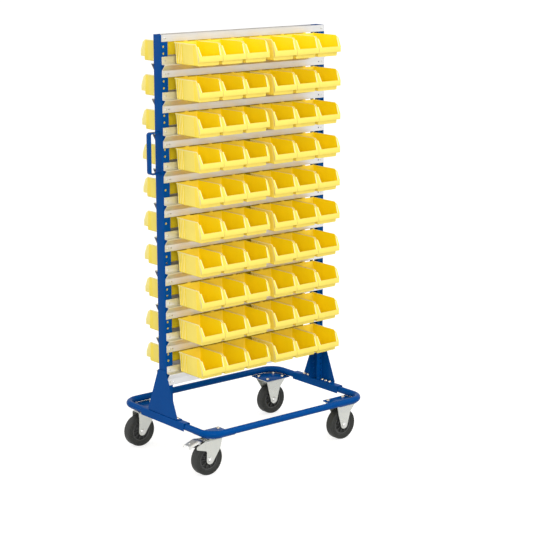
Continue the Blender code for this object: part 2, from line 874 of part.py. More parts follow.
def moved(obj, across, out, up=0):
    """Shift a piece's mesh."""
    obj.data.transform(Matrix.Translation((across, out, up)))
    return obj


def make_castors():
    """Two swivel castors on the handle's side and two fixed castors on the other."""
    for tag, (side, end) in corners.items():
        across = side * castor_x
        out = end * castor_y
        foot = add_empty("castor_" + tag, (across, out, 0), cart_origin)
        is_swivel = side == left
        trail = castor_trail if is_swivel else 0
        hub = add_empty("wheel_axis_" + tag, (-trail, 0, wheel_radius), foot)
        if is_swivel:
            add_part(make_swivel_plate("swivel_plate_" + tag), "galvanised_sheet", foot)
            fork = make_swivel_fork("swivel_fork_" + tag, tag == brake_corner)
            add_part(fork, "galvanised_sheet", foot)
        else:
            add_part(make_fixed_fork("fixed_fork_" + tag), "galvanised_sheet", foot)
        add_part(make_tyre("tyre_" + tag), "black_rubber", hub)
        add_part(make_rim("rim_" + tag), "dark_plastic", hub)
        add_part(make_axle("axle_" + tag), "bright_zinc", hub)
        if tag == brake_corner:
            pivot = add_empty("pedal_axis_" + tag, (-pedal_pivot_x, 0, pedal_pivot_z), foot)
            pedal = moved(make_brake_pedal("brake_pedal_" + tag), pedal_pivot_x, 0, -pedal_pivot_z)
            add_part(pedal, "bright_zinc", pivot)


def main():
    for label, side in sides_x.items():
        add_part(make_saddle("saddle_" + label, side), "blue_paint", cart_origin)
        add_part(make_gusset("gusset_" + label, side), "blue_paint", cart_origin)
        add_part(make_upright("upright_" + label, side), "blue_paint", cart_origin)
    for tag, (side, end) in corners.items():
        add_part(make_corner_plate("corner_plate_" + tag, side, end), "blue_paint", cart_origin)
    add_part(make_handle("push_handle"), "blue_paint", cart_origin)
    make_castors()
    fused_bin = bin_mesh(has_step_and_ears=False)
    loose_bin = bin_mesh(has_step_and_ears=True)
    for label, side in sides_y.items():
        add_part(make_base_tube("base_tube_" + label, side), "blue_paint", cart_origin)
        add_part(make_top_strip("top_strip_" + label, side), "galvanised_sheet", cart_origin)
        for row in range(1, row_count + 1):
            loose = label == loose_bin_side and row == loose_bin_row
            name = f"rail_{label}_{row:02d}" if loose else f"rail_{label}_{row:02d}_with_bins"
            finish = "galvanised_sheet" if loose else "yellow_plastic"
            add_part(make_rail(name, side, row, None if loose else fused_bin), finish, cart_origin)
    for index, across in enumerate(bin_places(), start=1):
        name = f"bin_{loose_bin_side}_{loose_bin_row}_{index}"
        part = make_loose_bin(name, sides_y[loose_bin_side], loose_bin_row, across, loose_bin)
        add_part(part, "yellow_plastic", cart_origin)


clear_scene()
cart = make_collection("mobile_bin_cart")
cutters = make_collection("cutters")
cart_origin = add_empty("cart_origin", (cart_shift, 0, 0))
main()
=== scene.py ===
"""Mobile bin cart: the visual model, built around the cart's packed frame.

Lengths are in metres. The rack runs along X, its front faces -Y, and +Z is up. Every piece
takes its place from the packed solid that it stands for.
"""

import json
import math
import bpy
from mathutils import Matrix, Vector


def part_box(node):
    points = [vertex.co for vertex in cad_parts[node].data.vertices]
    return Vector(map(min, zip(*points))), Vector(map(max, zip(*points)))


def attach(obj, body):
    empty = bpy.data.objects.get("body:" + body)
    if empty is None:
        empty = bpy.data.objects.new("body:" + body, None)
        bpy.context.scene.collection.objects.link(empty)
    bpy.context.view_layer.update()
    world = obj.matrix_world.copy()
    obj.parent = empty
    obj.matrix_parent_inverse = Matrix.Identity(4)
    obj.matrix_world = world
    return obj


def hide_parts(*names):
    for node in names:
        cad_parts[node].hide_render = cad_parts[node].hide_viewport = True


bl_info = {
    "name": "Mobile bin cart",
    "version": (1, 0, 0),
    "blender": (4, 5, 0),
    "location": "View3D > Sidebar > Bin cart",
    "description": "Builds a rack of storage bins on a wheeled tube base",
    "category": "Add Mesh",
}

import bmesh
import bpy
from bpy.props import FloatProperty, FloatVectorProperty, IntProperty, PointerProperty
from bpy.types import Operator, Panel, PropertyGroup
from mathutils import Matrix, Vector

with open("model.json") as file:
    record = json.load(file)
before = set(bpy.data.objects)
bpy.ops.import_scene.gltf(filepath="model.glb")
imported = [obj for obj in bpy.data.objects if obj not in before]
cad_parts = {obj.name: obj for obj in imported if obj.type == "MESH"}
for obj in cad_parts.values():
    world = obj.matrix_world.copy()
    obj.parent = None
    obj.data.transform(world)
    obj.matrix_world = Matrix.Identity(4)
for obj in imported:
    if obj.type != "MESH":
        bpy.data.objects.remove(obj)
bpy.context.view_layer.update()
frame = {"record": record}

SIDES = ("front", "rear")
ENDS = (-1, 1)
RACK_ENDS = (("left", -1), ("right", 1))
ROWS = range(1, 11)
LOOSE = ("front", 10)
SWIVELS = ("fl", "rl")
CORNERS = ("fl", "fr", "rl", "rr")
BRAKED = "fl"

# Where a bin's ribs and panel start and end, as shares of its length
RIB_SHARES = (0.135, 0.200, 0.262)
PANEL_SHARES = (0.315, 0.740)

# How much painted light a bin's trim gets, on the scale that make_plastic explains: low is painted sheen,
# as on the ribs and rim bead, high is painted shade, as in the grooves
RIB_SHEEN, PANEL_TONE, TAB_TONE, GROOVE_SHADE = 0.05, 0.4, 0.6, 0.92

# How far in front of a bin's rear rim the faces of its tabs lie, as shares of its wall
TAB_FACES = (1.2, 0.55)

# A tyre's side: its bead as (out from the bore, in from the side), where its ringed grooves start from
# the bore, their width and their edges' width, and its shoulder as (in from the tread, in from the side)
TYRE_BEAD = ((0.0, 0.0025), (0.0018, 0.0009))
TYRE_RINGS = (0.0050, 0.0095, 0.0140)
RING_WIDTH, RING_EDGE = 0.0020, 0.0005
TYRE_SHOULDER = ((0.0048, 0.0), (0.0024, 0.0009), (0.0008, 0.0027), (0.0, 0.0056))

# Chamfers of the axles' washers and nuts, as (in from the rim, in from the face)
WASHER_EDGE, NUT_EDGE = (0.0005, 0.0004), (0.0012, 0.0008)

# The swivel race, as (radius, drop below the plate's underside) and (radius, rise above its own foot)
RACE_UPPER = ((0.0, -0.001), (0.0275, -0.001), (0.0300, 0.0008), (0.0310, 0.0030))
RACE_LOWER = ((0.0305, 0.0006), (0.0290, 0.0), (0.0, 0.0))

# Radii of a swivel fork's outline at its crown, knee and throat, and of the braked one's outline
# from its throat round the nose to its shoulder
CROWN_RADIUS, KNEE_RADIUS, THROAT_RADIUS = 0.006, 0.040, 0.006
NOSE_RADII = (0.010, 0.004, 0.005, 0.006)

# Radii of a fixed fork's bends, from foot to foot, and of its outline at the top and at the knee
LEG_BENDS = (0, 0.030, 0.004, 0.004, 0.030, 0)
LEG_TOP_RADIUS, LEG_KNEE_RADIUS = 0.010, 0.060

# Radii of the brake pedal's bends, from the pin to the tip
PEDAL_BENDS = (0, 0.015, 0.022, 0.004, 0)

# A screw's or bolt's head, as (share of its radius, share of its rise), and how deep it sits in the sheet
HEAD_LINE = ((1, 0.25), (0.86, 0.7), (0.5, 0.96), (0, 1))
HEAD_ROOT = 0.0006

# The studio: each lamp's place and width, what the lamps face, and the camera's place and turns in degrees
LAMPS = {
    "key": ((-3.2, -4.5, 2.3), 2.6),
    "fill": ((3.0, -3.2, 3.8), 2.4),
    "side": ((-3.6, 3.4, 2.4), 2.6),
    "top": ((0.4, -0.4, 4.6), 3.2),
}
LAMP_AIM = (0, 0, 0.85)
CAMERA_PLACE = (-3.8717, -4.9394, 2.1124)
CAMERA_TURNS = ((-39.101, "Z"), (77.494, "X"), (-0.162, "Z"))

# Least cosine of the half angle at which a moved line's corner is still drawn out to its point
MITRE_LEAST = 0.35


# Places taken from the frame

def span(node):
    """Lowest corner, highest corner and middle of a packed solid."""
    low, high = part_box(node)
    return low, high, (low + high) / 2


def rail_node(side, row):
    name = f"rail_{side}_{row:02d}"
    return name if (side, row) == LOOSE else name + "_with_bins"


bin_low, bin_high, _ = span("bin_front_10_1")
rail_low, rail_high, rail_middle = span("rail_front_10")
rack_middle = rail_middle.x
rail_length = rail_high.x - rail_low.x
rail_height = rail_high.z - rail_low.z
ledge_height = bin_low.z - rail_low.z


def facing(side):
    """The matrix from a front piece's own place to the front or the rear of the rack."""
    turn = Matrix.Rotation(0 if side == "front" else math.pi, 4, "Z")
    return Matrix.Translation((rack_middle, 0, 0)) @ turn


# Sizes and colours that a user may change

def number(name, text, default, **limits):
    return FloatProperty(name=name, description=text, default=default, **{"min": 0.0, **limits})


def length(name, text, default):
    return number(name, text, default, unit="LENGTH", precision=5)


def colour(name, text, default):
    return FloatVectorProperty(
        name=name, description=text, default=default, size=3, min=0.0, max=1.0, subtype="COLOR")


class BinSizes(PropertyGroup):
    """Sizes of one storage bin."""
    wall: length("Wall", "Thickness of the walls", 0.002)
    length: length("Length", "From the rear rim to the front lip", bin_high.y - bin_low.y)
    width: length("Width", "Width across the opening", bin_high.x - bin_low.x)
    height: length("Height", "Height of the rim above the floor", bin_high.z - bin_low.z)
    floor_width: length("Floor width", "Width across the floor", 0.0946)
    top_width: length("Top width", "Width across the side walls at the rim", 0.1034)
    rear_lean: length("Rear lean", "How far the rear wall leans in at the floor", 0.0075)
    floor_end: length("Floor end", "From the rear rim to the end of the floor", 0.141)
    riser_lean: length("Riser lean", "How far the riser below the step leans out", 0.0015)
    step: length("Step", "Height of the step under the lip", 0.014)
    step_rise: length("Step rise", "How far the step rises to its front edge", 0.002)
    lip: length("Lip", "Height of the front lip", 0.037)
    opening_lean: length("Opening lean", "How far the opening leans back over its height", 0.015)
    ear_foot: length("Ear foot", "Width of the ear at the lip", 0.012)
    # The bead is no raised shape: it is a flat strip of the ear painted with a sheen
    ear_top: length("Ear top", "Width of the ear at its upper end", 0.008)
    bead: length("Bead", "Width of the pale bead along the ear's inner edge", 0.0045)
    flare: length("Flare", "Length over which the side widens to the ear", 0.012)
    rim_drop: length("Rim drop", "How far the rim falls at its front corner", 0.009)
    corner: length("Corner radius", "Radius of the moulded corners", 0.0035)
    rib: length("Rib", "Width of the ribs on the side", 0.0030)
    proud: length("Rib height", "How far the ribs stand out of the side", 0.0016)
    # The grooves stand out only a little and carry painted shade between the ribs
    groove: length("Groove", "How far the grooves between the ribs stand out of the side", 0.0002)
    panel: length("Panel height", "How far the flat panel stands out of the side", 0.0006)
    rim: length("Rim", "Height of the bead round the rim", 0.0034)
    edge: length("Edge radius", "Radius of the moulded edges", 0.0005)
    tab_width: length("Tab width", "Width of the tab on the rear wall", 0.015)
    tab_height: length("Tab height", "Height of the tab on the rear wall", 0.0040)
    loose_tab: length("Loose tab height", "The same on the bins that lift off", 0.0006)
    loose_gap: length("Loose gap", "How far the bins that lift off stand from their rail", 0.0005)


class RowSizes(PropertyGroup):
    """How the bins of one rail are spaced."""
    pitch: length("Pitch", "From one bin to the next", 0.1102)
    group_gap: length("Group gap", "Extra room between the two groups of bins", 0.0241)
    count: IntProperty(name="Bins", description="Bins on one rail", default=6, min=2)


class RailSizes(PropertyGroup):
    """Sizes of one louvre rail."""
    sheet: length("Sheet", "Thickness of the sheet", 0.0015)
    strip: length("Lower strip", "Height of the flat strip below the slope", 0.0255)
    bend: length("Bend radius", "Radius of the folds", 0.0016)
    screw: length("Screw head", "Diameter of a screw head", 0.0088)
    screw_rise: length("Screw rise", "Height of a screw head", 0.0026)
    screw_inset: length("Screw inset", "From the rail's end to the screw", 0.0145)
    hole: length("Spare hole", "Diameter of the spare hole beside the lower screw", 0.0055)
    hole_gap: length("Spare hole gap", "From the lower screw to the spare hole", 0.014)
    seat_gap: length("Seat gap", "Room between the ledge and a bin", 0.0003)
    edge: length("Edge", "Radius of the sheet's edges", 0.0002)
    top_corner: length("Top corner", "Radius of the top strip's corners", 0.001)


class SteelSizes(PropertyGroup):
    """Sizes of the painted steel."""
    sheet: length("Sheet", "Thickness of uprights and saddles", 0.002)
    plate: length("Plate", "Thickness of the gussets", 0.003)
    fold: length("Fold radius", "Radius of folded corners", 0.0028)
    hole: length("Hole", "Diameter of the upright's holes", 0.0092)
    raster: length("Raster", "From one hole to the next", 0.0254)
    first_hole: length("First hole", "From the top of the upright to the first hole", 0.0182)
    hole_margin: length("Hole margin", "Least steel between a hole and the rail beside it", 0.0012)
    gusset_rise: length("Gusset rise", "How far the gusset's foot covers the upright", 0.006)
    hole_inset: length("Hole inset", "From the upright's web to the holes", 0.0123)
    tube_bend: length("Tube bend", "Radius of the base tube's bends", 0.063)
    plate_inset: length("Plate inset", "From the base tube's middle line to the corner plates' edge", 0.002)
    plate_corner: length("Plate corner", "Radius of the corner plates' inner corners", 0.003)
    corner_plate: length("Corner plate", "Thickness of the corner plates", 0.004)
    tube_wall: length("Tube wall", "Thickness of the base tube's wall", 0.002)
    handle_sheet: length("Handle sheet", "Thickness of the push handle", 0.004)
    handle_bend: length("Handle bend", "Radius of the push handle's bends", 0.009)
    bolt: length("Bolt head", "Diameter of the base's bolt heads", 0.014)
    bolt_rise: length("Bolt rise", "Height of the base's bolt heads", 0.006)
    foot_bolt_inset: length("Foot bolt inset", "From the edge of a gusset's foot to its bolts", 0.01075)
    foot_bolt_first: length("First foot bolt", "From the gusset's middle to the first bolt", 0.034)
    foot_bolt_pitch: length("Foot bolt pitch", "From one bolt of the gusset to the next", 0.0225)
    castor_bolt_x: length("Castor bolt X", "From a castor's middle to its bolts, along the cart", 0.040)
    castor_bolt_y: length("Castor bolt Y", "From a castor's middle to its bolts, across the cart", 0.030)
    gusset_knee: length("Gusset knee", "Height where the gusset's sides begin to lean in", 0.007)
    knee_bend: length("Knee bend", "Radius of the gusset's corners at the knee", 0.006)
    peak_bend: length("Peak bend", "Radius of the gusset's upper corners", 0.010)
    notch: length("Notch", "Height of the notch for the upright in the gusset's foot", 0.008)
    notch_gap: length("Notch gap", "Room between the upright and the notch in the gusset's foot", 0.0004)
    handle_edge: length("Handle edge", "Radius of the push handle's edges", 0.0009)
    plate_edge: length("Plate edge", "Radius of the corner plates' edges", 0.0008)
    saddle_edge: length("Saddle edge", "Radius of the saddles' edges", 0.0003)


class CastorSizes(PropertyGroup):
    """Sizes of the castors."""
    groove: length("Groove", "Depth of the rings in the tyre's side", 0.0011)
    washer: length("Washer", "Diameter of the axle's washers", 0.022)
    washer_play: length("Washer play", "Room between the fork and a washer", 0.0003)
    fork_gap: length("Fork gap", "Room between the cheeks of a fork", 0.043)
    sheet: length("Sheet", "Thickness of the forks and plates", 0.003)
    axle: length("Axle", "Diameter of the axles", 0.0094)
    flare: length("Flare", "How far the fixed forks' legs spread at the top", 0.0150)
    flare_height: length("Flare height", "Height over which the fixed forks' legs spread", 0.042)
    leg_top: length("Leg top", "Width of the fixed forks' legs at the top", 0.096)
    leg_knee: length("Leg knee", "Width of the fixed forks' legs at the knee", 0.064)
    leg_knee_drop: length("Leg knee drop", "From the top of the fixed forks to the knee", 0.040)
    crown_bend: length("Crown bend", "Radius of the bends at the fork's crown", 0.0075)
    crown_end: length("Crown end", "From the swivel to the end of the closed crown", 0.044)
    knee_x: length("Knee", "From the swivel to the knee of the leg's front edge", 0.008)
    knee_drop: length("Knee drop", "From the crown to the knee", 0.0435)
    throat_x: length("Throat", "From the swivel to the leg's rear edge", 0.054)
    throat_drop: length("Throat drop", "From the crown to the throat over the wheel", 0.04375)
    nose_low: length("Nose bottom", "From the crown to the lower edge of the nose", 0.03075)
    nose_high: length("Nose top", "From the crown to the upper edge of the nose", 0.01775)
    shoulder_x: length("Shoulder", "From the swivel to the shoulder over the nose", 0.060)
    shoulder_drop: length("Shoulder drop", "From the crown to the shoulder", 0.00475)
    plate_length: length("Plate length", "Length of the castors' top plates", 0.105)
    plate_width: length("Plate width", "Width of the castors' top plates", 0.085)
    plate_corner: length("Plate corner", "Radius of the top plates' corners", 0.008)
    plate_edge: length("Plate edge", "Radius of the top plates' edges", 0.0006)
    hub: length("Hub", "Radius of the wheel centre's hub", 0.0135)
    hub_chamfer: length("Hub chamfer", "Width of the wheel centre's chamfers", 0.002)
    hub_play: length("Hub play", "Room between the hub and the axle", 0.0008)
    web: length("Web", "Half the thickness of the wheel centre's web", 0.0045)
    ring: length("Ring", "Half the width of the ring that the tyre sits on", 0.015)
    tyre_play: length("Tyre play", "Room between the ring and the tyre", 0.0003)
    rib: length("Rib", "Thickness of the wheel centre's ribs", 0.002)
    nut: length("Nut", "From the middle of a nut to its corners", 0.0086)
    segments: IntProperty(name="Segments", description="Steps round a wheel", default=72, min=24)
    ribs: IntProperty(name="Ribs", description="Ribs on each side of a wheel centre", default=10, min=3)


class PedalSizes(PropertyGroup):
    """Sizes of the brake pedal."""
    sheet: length("Sheet", "Thickness of the pedal", 0.0022)
    pivot_x: length("Pivot", "From the swivel to the pedal's pin", 0.050)
    pivot_drop: length("Pivot drop", "From the fork's crown to the pedal's pin", 0.01025)
    eye: length("Eye", "Diameter of the pedal's eye", 0.0090)
    eye_length: length("Eye length", "Length of the pedal's eye", 0.034)
    pin_head: length("Pin head", "Height of the pin's heads", 0.0020)
    neck: length("Neck", "Width of the pedal between the cheeks", 0.036)
    tread: length("Tread", "Width of the pedal's tread", 0.052)
    knee_x: length("Knee", "From the swivel to the pedal's knee", 0.066)
    knee_rise: length("Knee rise", "Height of the knee above the pin", 0.0105)
    crest_x: length("Crest", "From the swivel to the pedal's highest place", 0.086)
    crest_rise: length("Crest rise", "Height of the crest above the pin", 0.013)
    tip_x: length("Tip", "From the swivel to the pedal's tip", 0.131)
    tip_drop: length("Tip drop", "From the pin down to the tip", 0.0015)
    hem: length("Hem", "Depth of the turned-down tip", 0.005)
    edge_drop: length("Edge drop", "How far the tread's side edges fall", 0.006)
    slot_x: length("Slot", "From the swivel to the slot in the tread", 0.112)
    slot_width: length("Slot width", "Width of the slot", 0.0065)
    slot_length: length("Slot length", "Length of the slot", 0.018)
    shoe_near: length("Shoe front", "From the swivel to the brake shoe's front", 0.066)
    shoe_far: length("Shoe rear", "From the swivel to the brake shoe's rear", 0.076)
    shoe_width: length("Shoe width", "Width of the brake shoe", 0.024)
    shoe_drop: length("Shoe drop", "How far the shoe reaches below the pin", 0.011)
    level_share: number("Level share", "Share of the tread's half that stays level", 0.6, max=0.9)
    tip_rounding: number("Tip rounding", "How fast the tread narrows at its tip", 30.0)


class FinishColours(PropertyGroup):
    """Colours of the finishes."""
    paint: colour("Paint", "Powder coat of the frame", (0.0003, 0.062, 0.264))
    plastic: colour("Plastic", "Moulded bins", (0.985, 0.768, 0.100))
    # deep and pale are lit and shaded copies of the bin plastic: deep paints the bounce light caught inside
    # the bins, pale paints sheen and highlight on edges, ribs and ears
    deep: colour("Deep plastic", "Moulded bins where light is caught inside them", (1.000, 0.730, 0.004))
    pale: colour("Pale plastic", "Thin edges, ribs and ears of the bins", (0.985, 0.868, 0.380))
    zinc: colour("Zinc", "Galvanised rails", (0.720, 0.720, 0.720))
    fork: colour("Fork zinc", "Plated castor forks", (0.560, 0.570, 0.535))
    bright: colour("Bright plate", "Pedal, screws and axles", (0.640, 0.640, 0.625))
    brass: colour("Yellow zinc", "Bolts of the base", (0.700, 0.620, 0.500))
    rubber: colour("Rubber", "Tyres", (0.017, 0.018, 0.016))
    hub: colour("Hub", "Wheel centres", (0.040, 0.041, 0.040))


class StudioSettings(PropertyGroup):
    """Light and camera of the studio."""
    lens: number("Lens", "Focal length in millimetres", 110.55, min=1.0)
    key: number("Key light", "Power of the light on the left", 145.0)
    fill: number("Fill light", "Power of the light on the right", 60.0)
    side: number("Side light", "Power of the light behind on the left", 42.0)
    top: number("Top light", "Power of the light overhead", 34.0)
    sky: number("Room light", "Strength of the light from all round", 0.70)
    floor_glow: number("Floor glow", "Light added to the floor as the camera sees it", 0.68)
    floor_size: length("Floor", "Width of the floor", 80.0)


# Node trees

class Value:
    """A socket that Python can calculate with; each step adds a Math node."""

    def __init__(self, tree, socket):
        self.tree = tree
        self.socket = socket

    def math(self, operation, *others):
        return self.tree.node("ShaderNodeMath", {"operation": operation}, dict(enumerate((self, *others))))

    def __add__(self, other):
        return self.math("ADD", other)

    def __sub__(self, other):
        return self.math("SUBTRACT", other)

    def __mul__(self, other):
        return self.math("MULTIPLY", other)

    def __truediv__(self, other):
        return self.math("DIVIDE", other)

    def __rsub__(self, other):
        return self.math("MULTIPLY", -1.0).math("ADD", other)

    __radd__ = __add__
    __rmul__ = __mul__

    def spread(self, low, high):
        """Stretch the values from low to high over 0 to 1."""
        return self.tree.node(
            "ShaderNodeMapRange", {"clamp": True}, {"Value": self, "From Min": low, "From Max": high})


class Tree:
    """Adds nodes to the tree of a material, a world or a layout."""

    def __init__(self, tree):
        self.tree = tree

    def feed(self, socket, value):
        if isinstance(value, Value):
            self.tree.links.new(value.socket, socket)
        else:
            socket.default_value = value

    def node(self, kind, settings=None, sockets=None, output=0):
        """A node with its settings made first, then the values or links of its sockets."""
        made = self.tree.nodes.new(kind)
        for name, value in (settings or {}).items():
            setattr(made, name, value)
        for name, value in (sockets or {}).items():
            self.feed(made.inputs[name], value)
        return Value(self, made.outputs[output]) if made.outputs else made


class Finish(Tree):
    """A material on the Principled shader, with patterns in object coordinates."""

    def __init__(self, name, **constants):
        self.material = bpy.data.materials.new(name)
        self.material.use_nodes = True
        super().__init__(self.material.node_tree)
        self.shader = self.tree.nodes["Principled BSDF"]
        for socket, value in constants.items():
            self.shader.inputs[socket.replace("_", " ").title().replace("Ior", "IOR")].default_value = value
        self.place = self.node("ShaderNodeTexCoord", output="Object")

    def noise(self, scale, detail=2.0, stretch=(1, 1, 1), roughness=0.5):
        place = self.node("ShaderNodeMapping", sockets={"Vector": self.place, "Scale": stretch})
        return self.node("ShaderNodeTexNoise", sockets={
            "Vector": place, "Scale": scale, "Detail": detail, "Roughness": roughness})

    def cells(self, scale):
        """A random number for each cell of a crystal pattern."""
        cell = self.node(
            "ShaderNodeTexVoronoi", sockets={"Vector": self.place, "Scale": scale}, output="Color")
        return self.node("ShaderNodeSeparateColor", sockets={"Color": cell})

    def mixed(self, share, first, second):
        """One of two colours that vary themselves, by share."""
        return self.node("ShaderNodeMix", {"data_type": "RGBA"}, {0: share, 6: first, 7: second}, output=2)

    def between(self, share, tint, darkest, lightest):
        """A tint between its darkest and its lightest, by share."""
        return self.mixed(share, *((*shade(tint, part), 1.0) for part in (darkest, lightest)))

    def attribute(self, name):
        """A number that the mesh carries on its faces."""
        return self.node("ShaderNodeAttribute", {"attribute_name": name}, output="Fac")

    def surface(self, base, roughness, height=None, depth=0.0):
        self.feed(self.shader.inputs["Base Color"], base)
        self.feed(self.shader.inputs["Roughness"], roughness)
        if height is not None:
            bump = self.node("ShaderNodeBump", sockets={"Height": height, "Distance": depth})
            self.feed(self.shader.inputs["Normal"], bump)


def shade(tint, share):
    """A colour made darker or lighter by a share."""
    return tuple(min(1.0, part * share) for part in tint)


def make_plastic(tint, deep, pale):
    """Moulded polypropylene: cloudy flow marks and a fine grain, with painted light and shade.

    The mesh's tone paints light into the colour. 0 gives a painted sheen and glow on edges, ribs and ears,
    where light shines through the thin plastic. 0.5 gives the plain plastic on the walls outside. 1 gives
    the deeper, more saturated painted bounce light inside the bin.
    """
    finish = Finish("moulded_bin_plastic", specular_ior_level=0.12)
    tone = finish.attribute("tone")
    cloud = finish.noise(14, 3).spread(0.3, 0.7)
    flow = finish.noise(90, 3, (1, 1, 0.08)).spread(0.3, 0.7)
    grain = finish.noise(1400, 2)
    mottle = cloud * 0.6 + flow * 0.4
    # pale, the plain tint and deep are lit, plain and shaded copies of one plastic: painted sheen, plain
    # colour and painted bounce light, each with the random mottle
    painted_sheen, outer, inner = (finish.between(mottle, part, 0.97, 1.02) for part in (pale, tint, deep))
    skin = finish.mixed(tone.spread(0.0, 0.5), painted_sheen, outer)
    base = finish.mixed(tone.spread(0.5, 1.0), skin, inner)
    finish.surface(base, 0.36 + flow * 0.06 + grain * 0.06, grain + flow * 0.6, 0.00008)


def make_paint(tint):
    """Powder coat with an orange-peel skin and a little dust."""
    finish = Finish("blue_powder_coat", specular_ior_level=0.03)
    peel = finish.noise(420, 2)
    dust = finish.noise(22, 5, roughness=0.65).spread(0.52, 0.78)
    depth = finish.noise(5, 2).spread(0.3, 0.7)
    base = finish.between(dust * 0.35 + depth * 0.65, tint, 0.95, 1.12)
    finish.surface(base, 0.18 + dust * 0.14 + peel * 0.05, peel, 0.00005)


def make_zinc(name, tint, along, rough):
    """Galvanised sheet: spangle, rolling streaks and a dull bloom."""
    finish = Finish(name, metallic=0.78)
    spangle = finish.cells(130)
    streak = finish.noise(240, 3, along).spread(0.3, 0.7)
    bloom = finish.noise(16, 4).spread(0.35, 0.7)
    tone = spangle * 0.08 + streak * 0.57 + bloom * 0.35
    base = finish.between(tone, tint, 0.95, 1.04)
    roughness = rough + spangle * 0.02 + bloom * 0.05 + streak * 0.04
    finish.surface(base, roughness, streak + spangle * 0.1, 0.00001)


def make_bright(name, tint, rough):
    """Electroplated metal with faint polishing marks."""
    finish = Finish(name, metallic=1.0)
    mark = finish.noise(500, 3, (1, 0.2, 1)).spread(0.3, 0.7)
    film = finish.noise(45, 3).spread(0.35, 0.7)
    base = finish.between(film * 0.6 + mark * 0.4, tint, 0.86, 1.05)
    finish.surface(base, rough + mark * 0.06 + film * 0.08, mark, 0.00002)


def make_rubber(tint):
    """Black rubber with a dusty bloom on its fine grain."""
    finish = Finish("tyre_rubber", specular_ior_level=0.4)
    grain = finish.noise(900, 3)
    bloom = finish.noise(28, 4, roughness=0.6).spread(0.45, 0.8)
    base = finish.between(bloom, tint, 1.0, 2.0)
    finish.surface(base, 0.52 + bloom * 0.22 + grain * 0.10, grain, 0.00010)


def make_hub_plastic(tint):
    """Dark moulded nylon."""
    finish = Finish("hub_plastic")
    grain = finish.noise(1100, 2)
    cloud = finish.noise(40, 3).spread(0.35, 0.7)
    base = finish.between(cloud, tint, 0.85, 1.4)
    finish.surface(base, 0.42 + grain * 0.12, grain, 0.00006)


class Layout(Tree):
    """A Geometry Nodes tree whose named inputs are its sizes."""

    def __init__(self, name, **inputs):
        super().__init__(bpy.data.node_groups.new(name, "GeometryNodeTree"))
        self.face = self.tree.interface
        self.face.new_socket(name="Geometry", in_out="OUTPUT", socket_type="NodeSocketGeometry")
        for label, kind in inputs.items():
            self.face.new_socket(
                name=label.replace("_", " "), in_out="INPUT", socket_type="NodeSocket" + kind)
        entry = self.tree.nodes.new("NodeGroupInput")
        self.given = {label: Value(self, entry.outputs[label.replace("_", " ")]) for label in inputs}

    def vector(self, **parts):
        return self.node("ShaderNodeCombineXYZ", sockets=parts)

    def source(self, label):
        """The geometry of the object given under a name."""
        return self.node("GeometryNodeObjectInfo", sockets={"Object": self.given[label]}, output="Geometry")

    def copies(self, points, one, turn=(0.0, 0.0, 0.0)):
        """Put one at each point, realize the instances, give them their material and end the tree."""
        placed = self.node("GeometryNodeInstanceOnPoints", sockets={
            "Points": points, "Instance": one, "Rotation": turn})
        realized = self.node("GeometryNodeRealizeInstances", sockets={"Geometry": placed})
        painted = self.node("GeometryNodeSetMaterial", sockets={
            "Geometry": realized, "Material": self.given["Material"]})
        self.node("NodeGroupOutput", sockets={"Geometry": painted})
        return self

    def run(self, name, finish, mesh=None, **values):
        """The tree's result as one plain mesh object."""
        values["Material"] = bpy.data.materials[finish]
        obj = link(name, mesh or bpy.data.meshes.new(name))
        modifier = obj.modifiers.new("layout", "NODES")
        modifier.node_group = self.tree
        for item in self.face.items_tree:
            label = item.name.replace(" ", "_")
            if item.in_out == "INPUT" and label in values:
                modifier[item.identifier] = values[label]
        return applied(obj)


def row_layout():
    """Copies of one bin along a rail, in two groups."""
    layout = Layout(
        "bin_row", Bin="Object", Count="Int", Pitch="Float", Group_Gap="Float", Material="Material")
    count, pitch = layout.given["Count"], layout.given["Pitch"]
    line = layout.node("GeometryNodeMeshLine", sockets={
        "Count": count, "Start Location": layout.vector(X=(count - 1) * pitch * -0.5),
        "Offset": layout.vector(X=pitch)})
    across = layout.node("ShaderNodeSeparateXYZ", sockets={0: layout.node("GeometryNodeInputPosition")})
    shift = across.math("SIGN") * layout.given["Group_Gap"] * 0.5
    spaced = layout.node("GeometryNodeSetPosition", sockets={
        "Geometry": line, "Offset": layout.vector(X=shift)})
    return layout.copies(spaced, layout.source("Bin"))


def fastener_layout():
    """Copies of one fastener at each given point, all turned the same way."""
    layout = Layout("fasteners", Places="Geometry", Fastener="Object", Turn="Vector", Material="Material")
    return layout.copies(layout.given["Places"], layout.source("Fastener"), layout.given["Turn"])


def perforation_layout():
    """A cross pin at each given point, from which the holes of an upright are cut."""
    layout = Layout("perforation", Places="Geometry", Diameter="Float", Length="Float", Material="Material")
    pin = layout.node("GeometryNodeMeshCylinder", sockets={
        "Vertices": 14, "Radius": layout.given["Diameter"] * 0.5, "Depth": layout.given["Length"]})
    return layout.copies(layout.given["Places"], pin, (math.pi / 2, 0.0, 0.0))


def spoke_layout():
    """Copies of one rib round the Y axis."""
    layout = Layout("wheel_ribs", Rib="Object", Count="Int", Material="Material")
    line = layout.node("GeometryNodeMeshLine", sockets={
        "Count": layout.given["Count"], "Offset": (0.0, 0.0, 0.0)})
    angle = layout.node("GeometryNodeInputIndex") * math.tau / layout.given["Count"]
    return layout.copies(line, layout.source("Rib"), layout.vector(Y=angle))


# Shapes

def link(name, mesh):
    obj = bpy.data.objects.new(name, mesh)
    bpy.context.scene.collection.objects.link(obj)
    return obj


def linked(name, bm):
    """An object from a bmesh, as it is."""
    mesh = bpy.data.meshes.new(name)
    bm.to_mesh(mesh)
    bm.free()
    return link(name, mesh)


def solid(name, bm):
    """An object from a bmesh, with its faces pointing outwards."""
    bmesh.ops.recalc_face_normals(bm, faces=bm.faces)
    return linked(name, bm)


